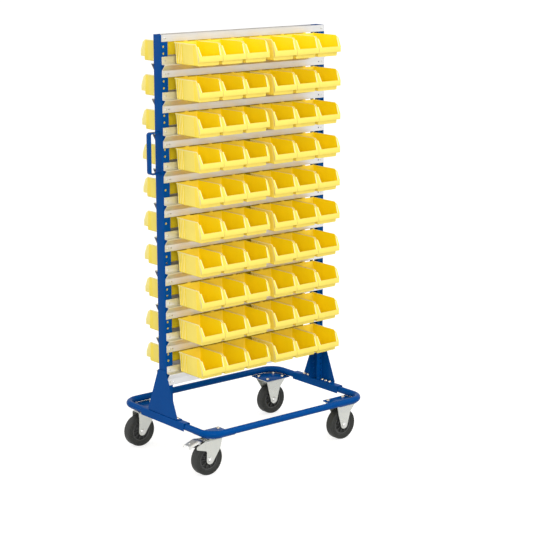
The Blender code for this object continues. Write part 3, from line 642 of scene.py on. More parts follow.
def turn_skin(bm, up):
    """Turn the faces of an open skin so that on the whole they look up, or down."""
    bmesh.ops.recalc_face_normals(bm, faces=bm.faces)
    if (sum(face.normal.z * face.calc_area() for face in bm.faces) > 0) != up:
        bmesh.ops.reverse_faces(bm, faces=bm.faces)


def applied(obj):
    """The object with its modifiers turned into plain mesh."""
    bpy.context.view_layer.update()
    mesh = bpy.data.meshes.new_from_object(obj.evaluated_get(bpy.context.evaluated_depsgraph_get()))
    obj.modifiers.clear()
    obj.data = mesh
    return obj


def bevelled(obj, width, segments=2, angle=40):
    bevel = obj.modifiers.new("edges", "BEVEL")
    bevel.width = width
    bevel.segments = segments
    bevel.limit_method = "ANGLE"
    bevel.angle_limit = math.radians(angle)
    return applied(obj)


def walled(obj, thickness, even=False):
    """A skin given its wall on the side away from its normals."""
    wall = obj.modifiers.new("wall", "SOLIDIFY")
    wall.thickness = thickness
    wall.offset = -1.0
    wall.use_even_offset = even
    return applied(obj)


def shaped(obj, other, operation):
    """Cut, join or intersect with another solid, which goes away."""
    modifier = obj.modifiers.new("shape", "BOOLEAN")
    modifier.operation = operation
    modifier.object = other
    modifier.solver = "EXACT"
    applied(obj)
    bpy.data.objects.remove(other)
    return obj


def line_of(*points):
    return [Vector(point) for point in points]


def arc(centre, radius, start, end, steps):
    """Points on an arc, with its angles in degrees."""
    points = []
    for step in range(steps + 1):
        angle = math.radians(start + (end - start) * step / steps)
        points.append(Vector(centre) + radius * Vector((math.cos(angle), math.sin(angle))))
    return points


def rounded(points, radius, closed=False, steps=5):
    """A line whose corners are rounded, by one radius or by one for each point."""
    result = []
    for index, here in enumerate(points):
        size = radius[index] if isinstance(radius, (list, tuple)) else radius
        if size == 0 or (not closed and index in (0, len(points) - 1)):
            result.append(here)
            continue
        into = points[index - 1] - here
        out = points[(index + 1) % len(points)] - here
        turn = into.angle(out)
        if turn > math.radians(176):
            result.append(here)
            continue
        reach = min(size / math.tan(turn / 2), into.length * 0.49, out.length * 0.49)
        into.normalize()
        out.normalize()
        centre = here + (into + out).normalized() * (reach / math.cos(turn / 2))
        first = here + into * reach - centre
        last = here + out * reach - centre
        start = math.atan2(first.y, first.x)
        sweep = (math.atan2(last.y, last.x) - start + math.pi) % math.tau - math.pi
        result += arc(centre, first.length, math.degrees(start), math.degrees(start + sweep), steps)
    return result


def beside(line, distance):
    """An open line moved to the left of its direction; its sharpest corners are kept from running out."""
    steps = [last - first for first, last in zip(line, line[1:])]
    moved = []
    for index, point in enumerate(line):
        normals = [Vector((-step.y, step.x)).normalized() for step in steps[max(0, index - 1):index + 1]]
        normal = sum(normals, Vector((0, 0))).normalized()
        moved.append(point + normal * distance / max(MITRE_LEAST, normal.dot(normals[0])))
    return moved


def folded(points, thickness, radius, steps=5):
    """The closed outline of a folded sheet whose outer skin follows the points.

    The thickness goes to the left of the line, and the radius is the sheet's middle one.
    """
    middle = rounded(beside(points, thickness / 2), radius, steps=steps)
    return beside(middle, -thickness / 2) + beside(middle, thickness / 2)[::-1]


def prism(bm, outline, axis, low, high):
    """A closed outline in the two other axes, drawn out along one axis."""
    def place(at, first, second):
        return {"X": (at, first, second), "Y": (first, at, second), "Z": (first, second, at)}[axis]

    rings = [[bm.verts.new(place(at, *point)) for point in outline] for at in (low, high)]
    for ring in rings:
        bm.faces.new(ring)
    for index in range(len(outline)):
        last = index - 1
        bm.faces.new((rings[0][last], rings[0][index], rings[1][index], rings[1][last]))


def drawn(name, outline, axis, low, high):
    bm = bmesh.new()
    prism(bm, outline, axis, low, high)
    return solid(name, bm)


def turned(bm, profile, segments, centre, axis="Y"):
    """A profile of (radius, place along the axis), turned into a closed ring or a closed solid."""
    centre = Vector(centre)
    rings = []
    for radius, along in profile:
        ring = []
        for step in range(segments if radius > 0 else 1):
            angle = math.tau * step / segments
            around = (radius * math.cos(angle), radius * math.sin(angle))
            place = {"Y": (around[0], along, around[1]), "Z": (around[0], around[1], along)}[axis]
            ring.append(bm.verts.new(centre + Vector(place)))
        rings.append(ring)
    pairs = list(zip(rings, rings[1:]))
    if len(rings[0]) > 1 and len(rings[-1]) > 1:
        pairs.append((rings[-1], rings[0]))
    for first, second in pairs:
        for step in range(segments):
            corners = [first[step % len(first)], first[(step + 1) % segments % len(first)],
                       second[(step + 1) % segments % len(second)], second[step % len(second)]]
            unique = list(dict.fromkeys(corners))
            if len(unique) > 2:
                bm.faces.new(unique)


def lathed(name, profile, segments, centre=(0, 0, 0), axis="Y"):
    bm = bmesh.new()
    turned(bm, profile, segments, centre, axis)
    return solid(name, bm)


def rod(radius, low, high):
    """The profile of a plain rod, for turned."""
    return [(0, low), (radius, low), (radius, high), (0, high)]


def cornered(pairs, steps=6):
    """A closed line from pairs of a point and its corner's radius."""
    points, radii = zip(*pairs)
    return rounded(line_of(*points), radii, closed=True, steps=steps)


def joined(name, parts):
    """One object from several, without welding them."""
    bm = bmesh.new()
    for part in parts:
        bm.from_mesh(part.data)
        bpy.data.objects.remove(part)
    return linked(name, bm)


def rectangle(low, high, radius=0.0, steps=4):
    """A closed rectangle with rounded corners."""
    corners = line_of(low, (high[0], low[1]), high, (low[0], high[1]))
    return rounded(corners, radius, closed=True, steps=steps) if radius else corners


def dressed(obj, finish, body, *nodes, angle=32):
    """Give a piece its finish and its body, and hide the packed solids that it stands for."""
    obj.data.materials.clear()
    obj.data.materials.append(bpy.data.materials[finish])
    obj.data.shade_smooth()
    obj.data.set_sharp_from_angle(angle=math.radians(angle))
    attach(obj, body)
    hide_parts(*nodes)
    return obj


def body_of(node):
    """The body that a packed solid rides on."""
    return next(name for name, nodes in frame["record"]["behaviour"]["bodies"].items() if node in nodes)


# Bins

def bin_shell(sizes):
    """One bin: its outer skin is drawn first and then given its wall.

    X is across, the rear rim is at Y = 0 and the bin runs out along -Y, standing on Z = 0.
    Each face has a tone of painted light: 0 is a painted sheen on edges, 0.5 the plain walls outside and 1
    painted bounce light inside.
    """
    floor_half, top_half, ear_half = sizes.floor_width / 2, sizes.top_width / 2, sizes.width / 2
    rim_front = sizes.length - sizes.opening_lean
    kink = sizes.height - sizes.rim_drop
    bm = bmesh.new()
    tones = bm.faces.layers.float.new("tone")
    inner_tones = bm.faces.layers.float.new("inner_tone")
    corners = {
        "rear_low": (floor_half, sizes.rear_lean, 0), "rear_top": (top_half, 0, sizes.height),
        "floor_end": (floor_half, sizes.floor_end, 0),
        "riser": (floor_half, sizes.floor_end + sizes.riser_lean, sizes.step),
        "step": (ear_half, sizes.length, sizes.step + sizes.step_rise),
        "lip": (ear_half, sizes.length, sizes.lip),
        # lip_mid and ear_mid split the ear's flat face so that its inner strip, the bead, can carry a
        # painted sheen
        "lip_mid": (ear_half - sizes.ear_foot + sizes.bead, sizes.length, sizes.lip),
        "lip_ear": (ear_half - sizes.ear_foot, sizes.length, sizes.lip),
        "kink": (ear_half, rim_front, kink),
        "ear_mid": (ear_half - sizes.ear_top + sizes.bead, rim_front, kink),
        "ear_top": (ear_half - sizes.ear_top, rim_front, kink),
        "flare": (top_half, rim_front - sizes.flare, sizes.height),
    }
    at = {(name, end): bm.verts.new((end * x, -out, up))
          for name, (x, out, up) in corners.items() for end in ENDS}

    def face(outer, inner, *places):
        made = bm.faces.new([at[place] for place in places])
        made[tones] = outer
        made[inner_tones] = inner

    def across(first, second):
        """The places of a face that spans the bin."""
        return (first, -1), (first, 1), (second, 1), (second, -1)

    # The two tones of each face paint light and shade: the rear wall is painted shaded outside and lit
    # inside, the riser and step get a painted highlight, and the bead a painted sheen
    face(0.5, 1.0, *across("rear_low", "floor_end"))
    face(0.9, 0.7, *across("rear_low", "rear_top")[::-1])
    face(0.4, 1.0, *across("floor_end", "riser"))
    face(0.1, 1.0, *across("riser", "step"))
    face(0.4, 1.0, ("step", -1), ("step", 1), ("lip", 1), ("lip_mid", 1), ("lip_ear", 1),
         ("lip_ear", -1), ("lip_mid", -1), ("lip", -1))
    for end in ENDS:
        for outer, inner, names in (
                (0.5, 1.0, ("rear_low", "floor_end", "flare", "rear_top")),
                (0.3, 1.0, ("floor_end", "riser", "flare")),
                (0.2, 1.0, ("riser", "step", "flare")),
                (0.1, 1.0, ("step", "lip", "kink", "flare")),
                (0.55, 0.6, ("lip", "lip_mid", "ear_mid", "kink")),
                (0.0, 0.3, ("lip_mid", "lip_ear", "ear_top", "ear_mid"))):
            face(outer, inner, *((name, end) for name in names))
    turn_skin(bm, up=False)
    low_edges = [(("rear_low", -1), ("rear_low", 1))]
    for end in ENDS:
        low_edges += [(("rear_low", end), (name, end)) for name in ("rear_top", "floor_end")]
    round_ones = {frozenset(at[place] for place in pair) for pair in low_edges}
    picked = [edge for edge in bm.edges if frozenset(edge.verts) in round_ones]
    bmesh.ops.bevel(
        bm, geom=picked, offset=sizes.corner, segments=3, profile=0.5, affect="EDGES", clamp_overlap=True)
    skin_faces = len(bm.faces)
    shell = walled(linked("bin_shell", bm), sizes.wall, even=True)
    inner = [tone.value for tone in shell.data.attributes["inner_tone"].data]
    # The cut edges of the wall take tone 0, a painted sheen, and the inner skin takes its painted inner
    # tone
    for index, tone in enumerate(shell.data.attributes["tone"].data):
        if index >= 2 * skin_faces:
            tone.value = 0.0
        elif index >= skin_faces:
            tone.value = inner[index]
    return bevelled(shell, sizes.edge, 2, 50)


def bin_trim(sizes, tab_height):
    """Ribs, panel, rim bead and tabs that stand out of one bin's walls."""
    bm = bmesh.new()
    tones = bm.faces.layers.float.new("tone")
    lean = (sizes.top_width - sizes.floor_width) / 2 / sizes.height
    floor_half = sizes.floor_width / 2
    foot = sizes.corner
    below_rim = sizes.height - sizes.rim

    def side_bar(end, first, last, low, high, proud, tone=RIB_SHEEN):
        """A bar on the outside of a side wall, which leans with it."""
        before = len(bm.faces)
        ring = []
        for up, out in ((low, last), (low, first), (high, first), (high, last)):
            wall = floor_half + lean * up
            ring.append([
                bm.verts.new((end * (wall + rise), -out, up)) for rise in (-sizes.wall / 2, proud)])
        order = range(len(ring))
        bm.faces.new([ring[index][1] for index in order])
        bm.faces.new([ring[index][0] for index in reversed(order)])
        for index in order:
            bm.faces.new((ring[index - 1][0], ring[index][0], ring[index][1], ring[index - 1][1]))
        for face in list(bm.faces)[before:]:
            face[tones] = tone

    rear = sizes.rear_lean + sizes.wall
    for end in ENDS:
        side_bar(end, rear, rear + sizes.rib, foot, below_rim, sizes.proud)
        for share in RIB_SHARES:
            out = share * sizes.length
            side_bar(end, out, out + sizes.rib, foot, below_rim, sizes.proud)
        first, last = (share * sizes.length for share in PANEL_SHARES)
        # Flat groove strips whose tone paints the shade between the ribs and at the panel's front edge
        side_bar(end, rear, first, foot, below_rim, sizes.groove, GROOVE_SHADE)
        side_bar(end, first, last, foot, below_rim, sizes.panel, PANEL_TONE)
        side_bar(end, last, last + sizes.rib / 2, foot, below_rim, sizes.groove, GROOVE_SHADE)
        rim_end = sizes.length - sizes.opening_lean - sizes.flare
        side_bar(end, sizes.wall, rim_end, below_rim, sizes.height, sizes.proud)
    side_faces = len(bm.faces)
    half = sizes.top_width / 2
    tab = sizes.tab_width / 2
    corner = sizes.tab_width * 0.4
    root = sizes.height - sizes.wall
    for low, high, rise in ((-tab, tab, tab_height), (-half, corner - half, tab_height / 2),
                            (half - corner, half, tab_height / 2)):
        top = sizes.height + rise
        corners = line_of((low, root), (low, top), (high, top), (high, root))
        outline = rounded(corners, sizes.edge * 2, steps=2)
        prism(bm, outline, "Y", *(-sizes.wall * share for share in TAB_FACES))
    for face in list(bm.faces)[side_faces:]:
        face[tones] = TAB_TONE
    return solid("bin_trim", bm)


def whole_bin(sizes, tab_height):
    return joined("one_bin", [bin_shell(sizes), bin_trim(sizes, tab_height)])


class BINCART_OT_bins(Operator):
    """Build the bins of every rail"""
    bl_idname = "bincart.bins"
    bl_label = "Bins"

    def execute(self, context):
        scene = context.scene
        sizes, row = scene.bincart_bin, scene.bincart_row
        one = whole_bin(sizes, sizes.tab_height)
        layout = row_layout()
        for side in SIDES:
            for number in ROWS:
                if (side, number) == LOOSE:
                    continue
                node = rail_node(side, number)
                bins = layout.run(
                    f"bin_row_{side}_{number:02d}", "moulded_bin_plastic", Bin=one, Count=row.count,
                    Pitch=row.pitch, Group_Gap=row.group_gap)
                foot = span(node)[0].z + ledge_height
                bins.data.transform(facing(side) @ Matrix.Translation((0, bin_high.y, foot)))
                dressed(bins, "moulded_bin_plastic", "frame", node)
        bpy.data.objects.remove(one)
        one = whole_bin(sizes, sizes.loose_tab)
        for number in range(1, row.count + 1):
            node = f"bin_{LOOSE[0]}_{LOOSE[1]}_{number}"
            low, high, middle = span(node)
            loose = link(f"lift_off_bin_{number}", one.data.copy())
            loose.data.transform(Matrix.Translation((middle.x, high.y - sizes.loose_gap, low.z)))
            dressed(loose, "moulded_bin_plastic", body_of(node), node)
        bpy.data.objects.remove(one)
        return {"FINISHED"}


# Rails, top strips and their screws

def rail_profile(sizes):
    """The rail's outer skin as (Y, Z), from the lower edge up."""
    face = rail_high.y - sizes.sheet
    ledge = ledge_height - sizes.seat_gap
    return line_of((face, 0), (face, sizes.strip), (rail_low.y, ledge), (face, ledge), (face, rail_height))


def screw_head(name, diameter, rise, sides=12):
    """A domed head on Z = 0 that points along +Z."""
    radius = diameter / 2
    profile = [(0, -HEAD_ROOT), (radius, -HEAD_ROOT)]
    profile += [(radius * out, rise * up) for out, up in HEAD_LINE]
    return lathed(name, profile, sides, axis="Z")


def point_mesh(name, places):
    mesh = bpy.data.meshes.new(name)
    mesh.from_pydata([tuple(place) for place in places], [], [])
    return mesh


class BINCART_OT_rails(Operator):
    """Build the louvre rails, the top strips and their screws"""
    bl_idname = "bincart.rails"
    bl_label = "Rails"

    def execute(self, context):
        sizes = context.scene.bincart_rail
        end = rail_length / 2
        inset = end - sizes.screw_inset
        face = rail_high.y - sizes.sheet
        lower, upper = sizes.strip / 2, (ledge_height + rail_height) / 2
        holes = bmesh.new()
        for across in (sizes.hole_gap - inset, inset - sizes.hole_gap):
            turned(holes, rod(sizes.hole / 2, -0.01, 0.01), 12, (across, face, lower))
        outline = folded(rail_profile(sizes), sizes.sheet, sizes.bend)
        rail = shaped(drawn("one_rail", outline, "X", -end, end), solid("spare_holes", holes), "DIFFERENCE")
        bevelled(rail, sizes.edge, 1, 60)
        top_low, top_high, top_middle = span("top_strip_front")
        for side in SIDES:
            screws = []
            for number in ROWS:
                node = rail_node(side, number)
                base = span(node)[0].z
                piece = link(f"louvre_rail_{side}_{number:02d}", rail.data.copy())
                piece.data.transform(facing(side) @ Matrix.Translation((0, 0, base)))
                dressed(piece, "galvanised_rail", "frame", node)
                screws += [(across, face, base + up) for across in (-inset, inset) for up in (lower, upper)]
            screws += [(across, face, top_middle.z) for across in (-inset, inset)]
            corners = rectangle((-end, top_low.z), (end, top_high.z), sizes.top_corner, 2)
            strip = drawn(f"top_rail_{side}", corners, "Y", top_low.y, top_high.y)
            strip.data.transform(facing(side))
            dressed(strip, "galvanised_rail", "frame", f"top_strip_{side}")
            head = screw_head("one_screw", sizes.screw, sizes.screw_rise)
            places = point_mesh("screw_places", [facing(side) @ Vector(place) for place in screws])
            turn = math.pi / 2 if side == "front" else -math.pi / 2
            heads = fastener_layout().run(
                f"rail_screws_{side}", "bright_plate", places, Fastener=head, Turn=(turn, 0.0, 0.0))
            bpy.data.objects.remove(head)
            dressed(heads, "bright_plate", "frame", angle=50)
        bpy.data.objects.remove(rail)
        return {"FINISHED"}


# Uprights, handle, base tubes, saddles, gussets and corner plates

def is_open(height, reach, foot):
    """Whether a hole at this height stands clear of the rails, the top strip and the gusset."""
    bottoms = [span(rail_node("front", number))[0].z for number in ROWS]
    covered = any(low - reach < height < low + rail_height + reach for low in bottoms)
    return not covered and foot + reach < height < span("top_strip_front")[0].z - reach


class BINCART_OT_uprights(Operator):
    """Build the two perforated uprights"""
    bl_idname = "bincart.uprights"
    bl_label = "Uprights"

    def execute(self, context):
        sizes = context.scene.bincart_steel
        for label, side in RACK_ENDS:
            low, high, middle = span(f"upright_{label}")
            edge, web = (high.x, low.x)[::-side]
            line = line_of((edge, low.y), (web, low.y), (web, high.y), (edge, high.y))[::side]
            outline = folded(line, sizes.sheet, sizes.fold - sizes.sheet / 2)
            upright = drawn(f"perforated_upright_{label}", outline, "Z", low.z, high.z)
            count = int((high.z - low.z - sizes.first_hole) / sizes.raster) + 1
            heights = [high.z - sizes.first_hole - index * sizes.raster for index in range(count)]
            places = [(web - side * sizes.hole_inset, middle.y, height) for height in heights
                      if is_open(height, sizes.hole / 2 + sizes.hole_margin, low.z + sizes.gusset_rise)]
            pins = perforation_layout().run(
                "hole_pins", "blue_powder_coat", point_mesh("hole_places", places), Diameter=sizes.hole,
                Length=(high.y - low.y) * 1.4)
            shaped(upright, pins, "DIFFERENCE")
            dressed(upright, "blue_powder_coat", "frame", f"upright_{label}", angle=40)
        return {"FINISHED"}


class BINCART_OT_handle(Operator):
    """Build the push handle"""
    bl_idname = "bincart.handle"
    bl_label = "Push handle"

    def execute(self, context):
        sizes = context.scene.bincart_steel
        low, high, _ = span("push_handle")
        line = line_of((high.x, high.z), (low.x, high.z), (low.x, low.z), (high.x, low.z))
        outline = folded(line, sizes.handle_sheet, sizes.handle_bend, 8)
        handle = drawn("flat_push_handle", outline, "Y", low.y, high.y)
        dressed(bevelled(handle, sizes.handle_edge, 2, 60), "blue_powder_coat", "frame", "push_handle")
        return {"FINISHED"}


def bolt_places(sizes):
    """Where the bolts of the base stand, on its gussets and then on its corner plates."""
    places = []
    for label, side in RACK_ENDS:
        low, high, _ = span(f"gusset_{label}")
        across = high.x - sizes.foot_bolt_inset if side < 0 else low.x + sizes.foot_bolt_inset
        for end in ENDS:
            for index in range(3):
                out = sizes.foot_bolt_first + index * sizes.foot_bolt_pitch
                places.append((across, end * out, low.z + sizes.plate))
    for tag in CORNERS:
        middle = span(f"swivel_plate_{tag}" if tag in SWIVELS else f"axle_{tag}")[2]
        top = span(f"corner_plate_{tag}")[0].z + sizes.corner_plate
        for x in ENDS:
            for y in ENDS:
                places.append((middle.x + x * sizes.castor_bolt_x, middle.y + y * sizes.castor_bolt_y, top))
    return places


class BINCART_OT_base(Operator):
    """Build the tube base, its saddles, gussets, corner plates and bolts"""
    bl_idname = "bincart.base"
    bl_label = "Base"

    def execute(self, context):
        sizes = context.scene.bincart_steel
        for side, end in zip(SIDES, ENDS):
            self.tube(sizes, side, end)
        for label, side in RACK_ENDS:
            self.saddle(sizes, label)
            self.gusset(sizes, label, side)
        for tag in CORNERS:
            self.plate(sizes, tag)
        head = screw_head("one_bolt", sizes.bolt, sizes.bolt_rise, 20)
        bolts = fastener_layout().run(
            "base_bolts", "yellow_zinc", point_mesh("bolt_places", bolt_places(sizes)), Fastener=head)
        bpy.data.objects.remove(head)
        dressed(bolts, "yellow_zinc", "frame", angle=50)
        return {"FINISHED"}

    def plate(self, sizes, tag):
        """A castor's corner plate, whose outer corner follows the base tube's bend."""
        low, high, _ = span(f"corner_plate_{tag}")
        radii = [sizes.tube_bend - sizes.plate_inset if tag == name else sizes.plate_corner
                 for name in ("fl", "fr", "rr", "rl")]
        outline = rounded(rectangle(low.xy, high.xy), radii, closed=True, steps=10)
        plate = drawn(f"castor_corner_plate_{tag}", outline, "Z", low.z, low.z + sizes.corner_plate)
        dressed(bevelled(plate, sizes.plate_edge), "blue_powder_coat", "frame", f"corner_plate_{tag}")

    def tube(self, sizes, side, end, sides=28):
        """A bent tube with its wall; its ends are open."""
        low, high, middle = span(f"base_tube_{side}")
        radius = (high.z - low.z) / 2
        left, right = low.x + radius, high.x - radius
        start, outer = (low.y, high.y - radius) if end > 0 else (high.y, low.y + radius)
        path = line_of((left, start), (left, outer), (right, outer), (right, start))
        path = rounded(path, sizes.tube_bend, steps=14)
        bm = bmesh.new()

        def around(size, index):
            """A ring round one point of the path."""
            ahead = path[min(index + 1, len(path) - 1)] - path[max(index - 1, 0)]
            across = Vector((-ahead.y, ahead.x)).normalized()
            ring = []
            for step in range(sides):
                angle = math.tau * step / sides
                spot = path[index] + across * (size * math.cos(angle))
                ring.append(bm.verts.new((spot.x, spot.y, middle.z + size * math.sin(angle))))
            return ring

        skins = [[around(size, index) for index in range(len(path))]
                 for size in (radius, radius - sizes.tube_wall)]
        pairs = [pair for skin in skins for pair in zip(skin, skin[1:])]
        pairs += [(skins[0][tip], skins[1][tip]) for tip in (0, -1)]
        for first, second in pairs:
            for step in range(sides):
                bm.faces.new((first[step - 1], first[step], second[step], second[step - 1]))
        dressed(solid(f"bent_tube_{side}", bm), "blue_powder_coat", "frame", f"base_tube_{side}")

    def saddle(self, sizes, label):
        low, high, _ = span(f"saddle_{label}")
        line = line_of((high.x, low.z), (high.x, high.z), (low.x, high.z), (low.x, low.z))
        outline = folded(line, sizes.sheet, sizes.fold, 4)
        saddle = drawn(f"saddle_channel_{label}", outline, "Y", low.y, high.y)
        dressed(bevelled(saddle, sizes.saddle_edge, 1, 60), "blue_powder_coat", "frame", f"saddle_{label}")

    def gusset(self, sizes, label, side, spare=0.01):
        """A folded sheet cut to its outline, with a notch for the upright."""
        low, high, _ = span(f"gusset_{label}")
        upright_low, upright_high, _ = span(f"upright_{label}")
        inner, outer = (high.x, low.x)[::-side]
        line = line_of((outer, high.z), (outer, low.z), (inner, low.z))[::-side]
        sheet = drawn(
            f"gusset_plate_{label}", folded(line, sizes.plate, sizes.fold, 4), "Y", low.y, high.y)
        knee, peak = low.z + sizes.gusset_knee, high.z + 0.0001
        face = cornered([
            ((low.y, low.z - spare), 0), ((high.y, low.z - spare), 0), ((high.y, knee), sizes.knee_bend),
            ((upright_high.y, peak), sizes.peak_bend), ((upright_low.y, peak), sizes.peak_bend),
            ((low.y, knee), sizes.knee_bend)], 4)
        shaped(sheet, drawn("gusset_outline", face, "X", low.x - spare, high.x + spare), "INTERSECT")
        clear = upright_high.y + sizes.notch_gap
        near, far = sorted((upright_low.x if side < 0 else upright_high.x, inner - side * spare))
        notch = rectangle((near, -clear), (far, clear))
        shaped(sheet, drawn("gusset_notch", notch, "Z", low.z - spare, low.z + sizes.notch), "DIFFERENCE")
        dressed(sheet, "blue_powder_coat", "frame", f"gusset_{label}")


# Castors

def tyre_profile(radius, bore, side, depth):
    """Half of the tyre's outline as (radius, along), from the bore out to the tread."""
    line = [(bore + out, side - drop) for out, drop in TYRE_BEAD]
    for ring in TYRE_RINGS:
        start = bore + ring
        end = start + RING_WIDTH
        line += [(start, side - 0.0003), (start + RING_EDGE, side - depth), (end - RING_EDGE, side - depth),
                 (end, side - 0.0002)]
    return line + [(radius - drop, side - inward) for drop, inward in TYRE_SHOULDER] + [(radius, 0.0)]


def mirrored(half):
    """A whole outline from the half on the +Y side."""
    return half + [(radius, -along) for radius, along in reversed(half) if along > 0]


class BINCART_OT_wheels(Operator):
    """Build the tyres, wheel centres and axles"""
    bl_idname = "bincart.wheels"
    bl_label = "Wheels"

    def execute(self, context):
        sizes = context.scene.bincart_castor
        for tag in CORNERS:
            low, high, middle = span(f"tyre_{tag}")
            rim_low, rim_high, _ = span(f"rim_{tag}")
            seat = (rim_high.z - rim_low.z) / 2
            half = tyre_profile(
                (high.z - low.z) / 2, seat + sizes.tyre_play, (high.y - low.y) / 2, sizes.groove)
            tyre = lathed(f"castor_tyre_{tag}", mirrored(half), sizes.segments, middle)
            dressed(tyre, "tyre_rubber", f"wheel_{tag}", f"tyre_{tag}", angle=50)
            self.centre(sizes, tag, middle, seat, (rim_high.y - rim_low.y) / 2)
            self.axle(sizes, tag)
        return {"FINISHED"}

    def centre(self, sizes, tag, middle, seat, hub_end):
        """A wheel centre: hub, web and ring turned in one, with ribs between hub and ring."""
        hub, web, ring, cut = sizes.hub, sizes.web, sizes.ring, sizes.hub_chamfer
        half = [(sizes.axle / 2 + sizes.hub_play, hub_end), (hub - cut, hub_end), (hub, hub_end - cut),
                (hub + cut / 2, web + cut), (hub + cut * 1.5, web), (seat - cut * 3.5, web),
                (seat - cut * 2.5, web + cut), (seat - cut * 2.25, ring - cut / 2),
                (seat - cut * 1.75, ring), (seat, ring)]
        disc = lathed("disc", mirrored(half), sizes.segments)
        rib = bmesh.new()
        near, far, root = hub - cut / 2, seat - cut * 2, web - cut / 2
        for end in ENDS:
            outline = line_of((near, end * root), (far, end * root), (far, end * (ring - cut * 1.5)),
                              (near, end * (ring + cut / 2)))
            prism(rib, outline, "Z", -sizes.rib / 2, sizes.rib / 2)
        one = solid("one_rib", rib)
        ribs = spoke_layout().run("ribs", "hub_plastic", Rib=one, Count=sizes.ribs)
        bpy.data.objects.remove(one)
        wheel = joined(f"wheel_centre_{tag}", [disc, ribs])
        wheel.data.transform(Matrix.Translation(middle))
        dressed(wheel, "hub_plastic", f"wheel_{tag}", f"rim_{tag}", angle=40)

    def axle(self, sizes, tag):
        """An axle with a washer and a nut on each side of the fork."""
        node = f"axle_{tag}"
        low, high, middle = span(node)
        reach = (high.y - low.y) / 2
        cheek = sizes.fork_gap / 2 + sizes.sheet + sizes.washer_play
        cap = cheek + sizes.sheet / 2
        radius, washer, nut = sizes.axle / 2, sizes.washer / 2, sizes.nut
        bm = bmesh.new()
        turned(bm, rod(radius, -cheek, cheek), 24, middle)
        for end in ENDS:
            washer_line = [(radius * 0.9, cheek), (washer, cheek), (washer, cap - WASHER_EDGE[1]),
                           (washer - WASHER_EDGE[0], cap), (radius * 0.9, cap)]
            nut_line = [(0, cap - 0.0005), (nut, cap - 0.0005), (nut, reach - NUT_EDGE[1]),
                        (nut - NUT_EDGE[0], reach), (0, reach)]
            for line, sides in ((washer_line, 32), (nut_line, 6)):
                turned(bm, [(out, end * along) for out, along in line], sides, middle)
        dressed(solid(f"axle_bolt_{tag}", bm), "bright_plate", body_of(node), node)


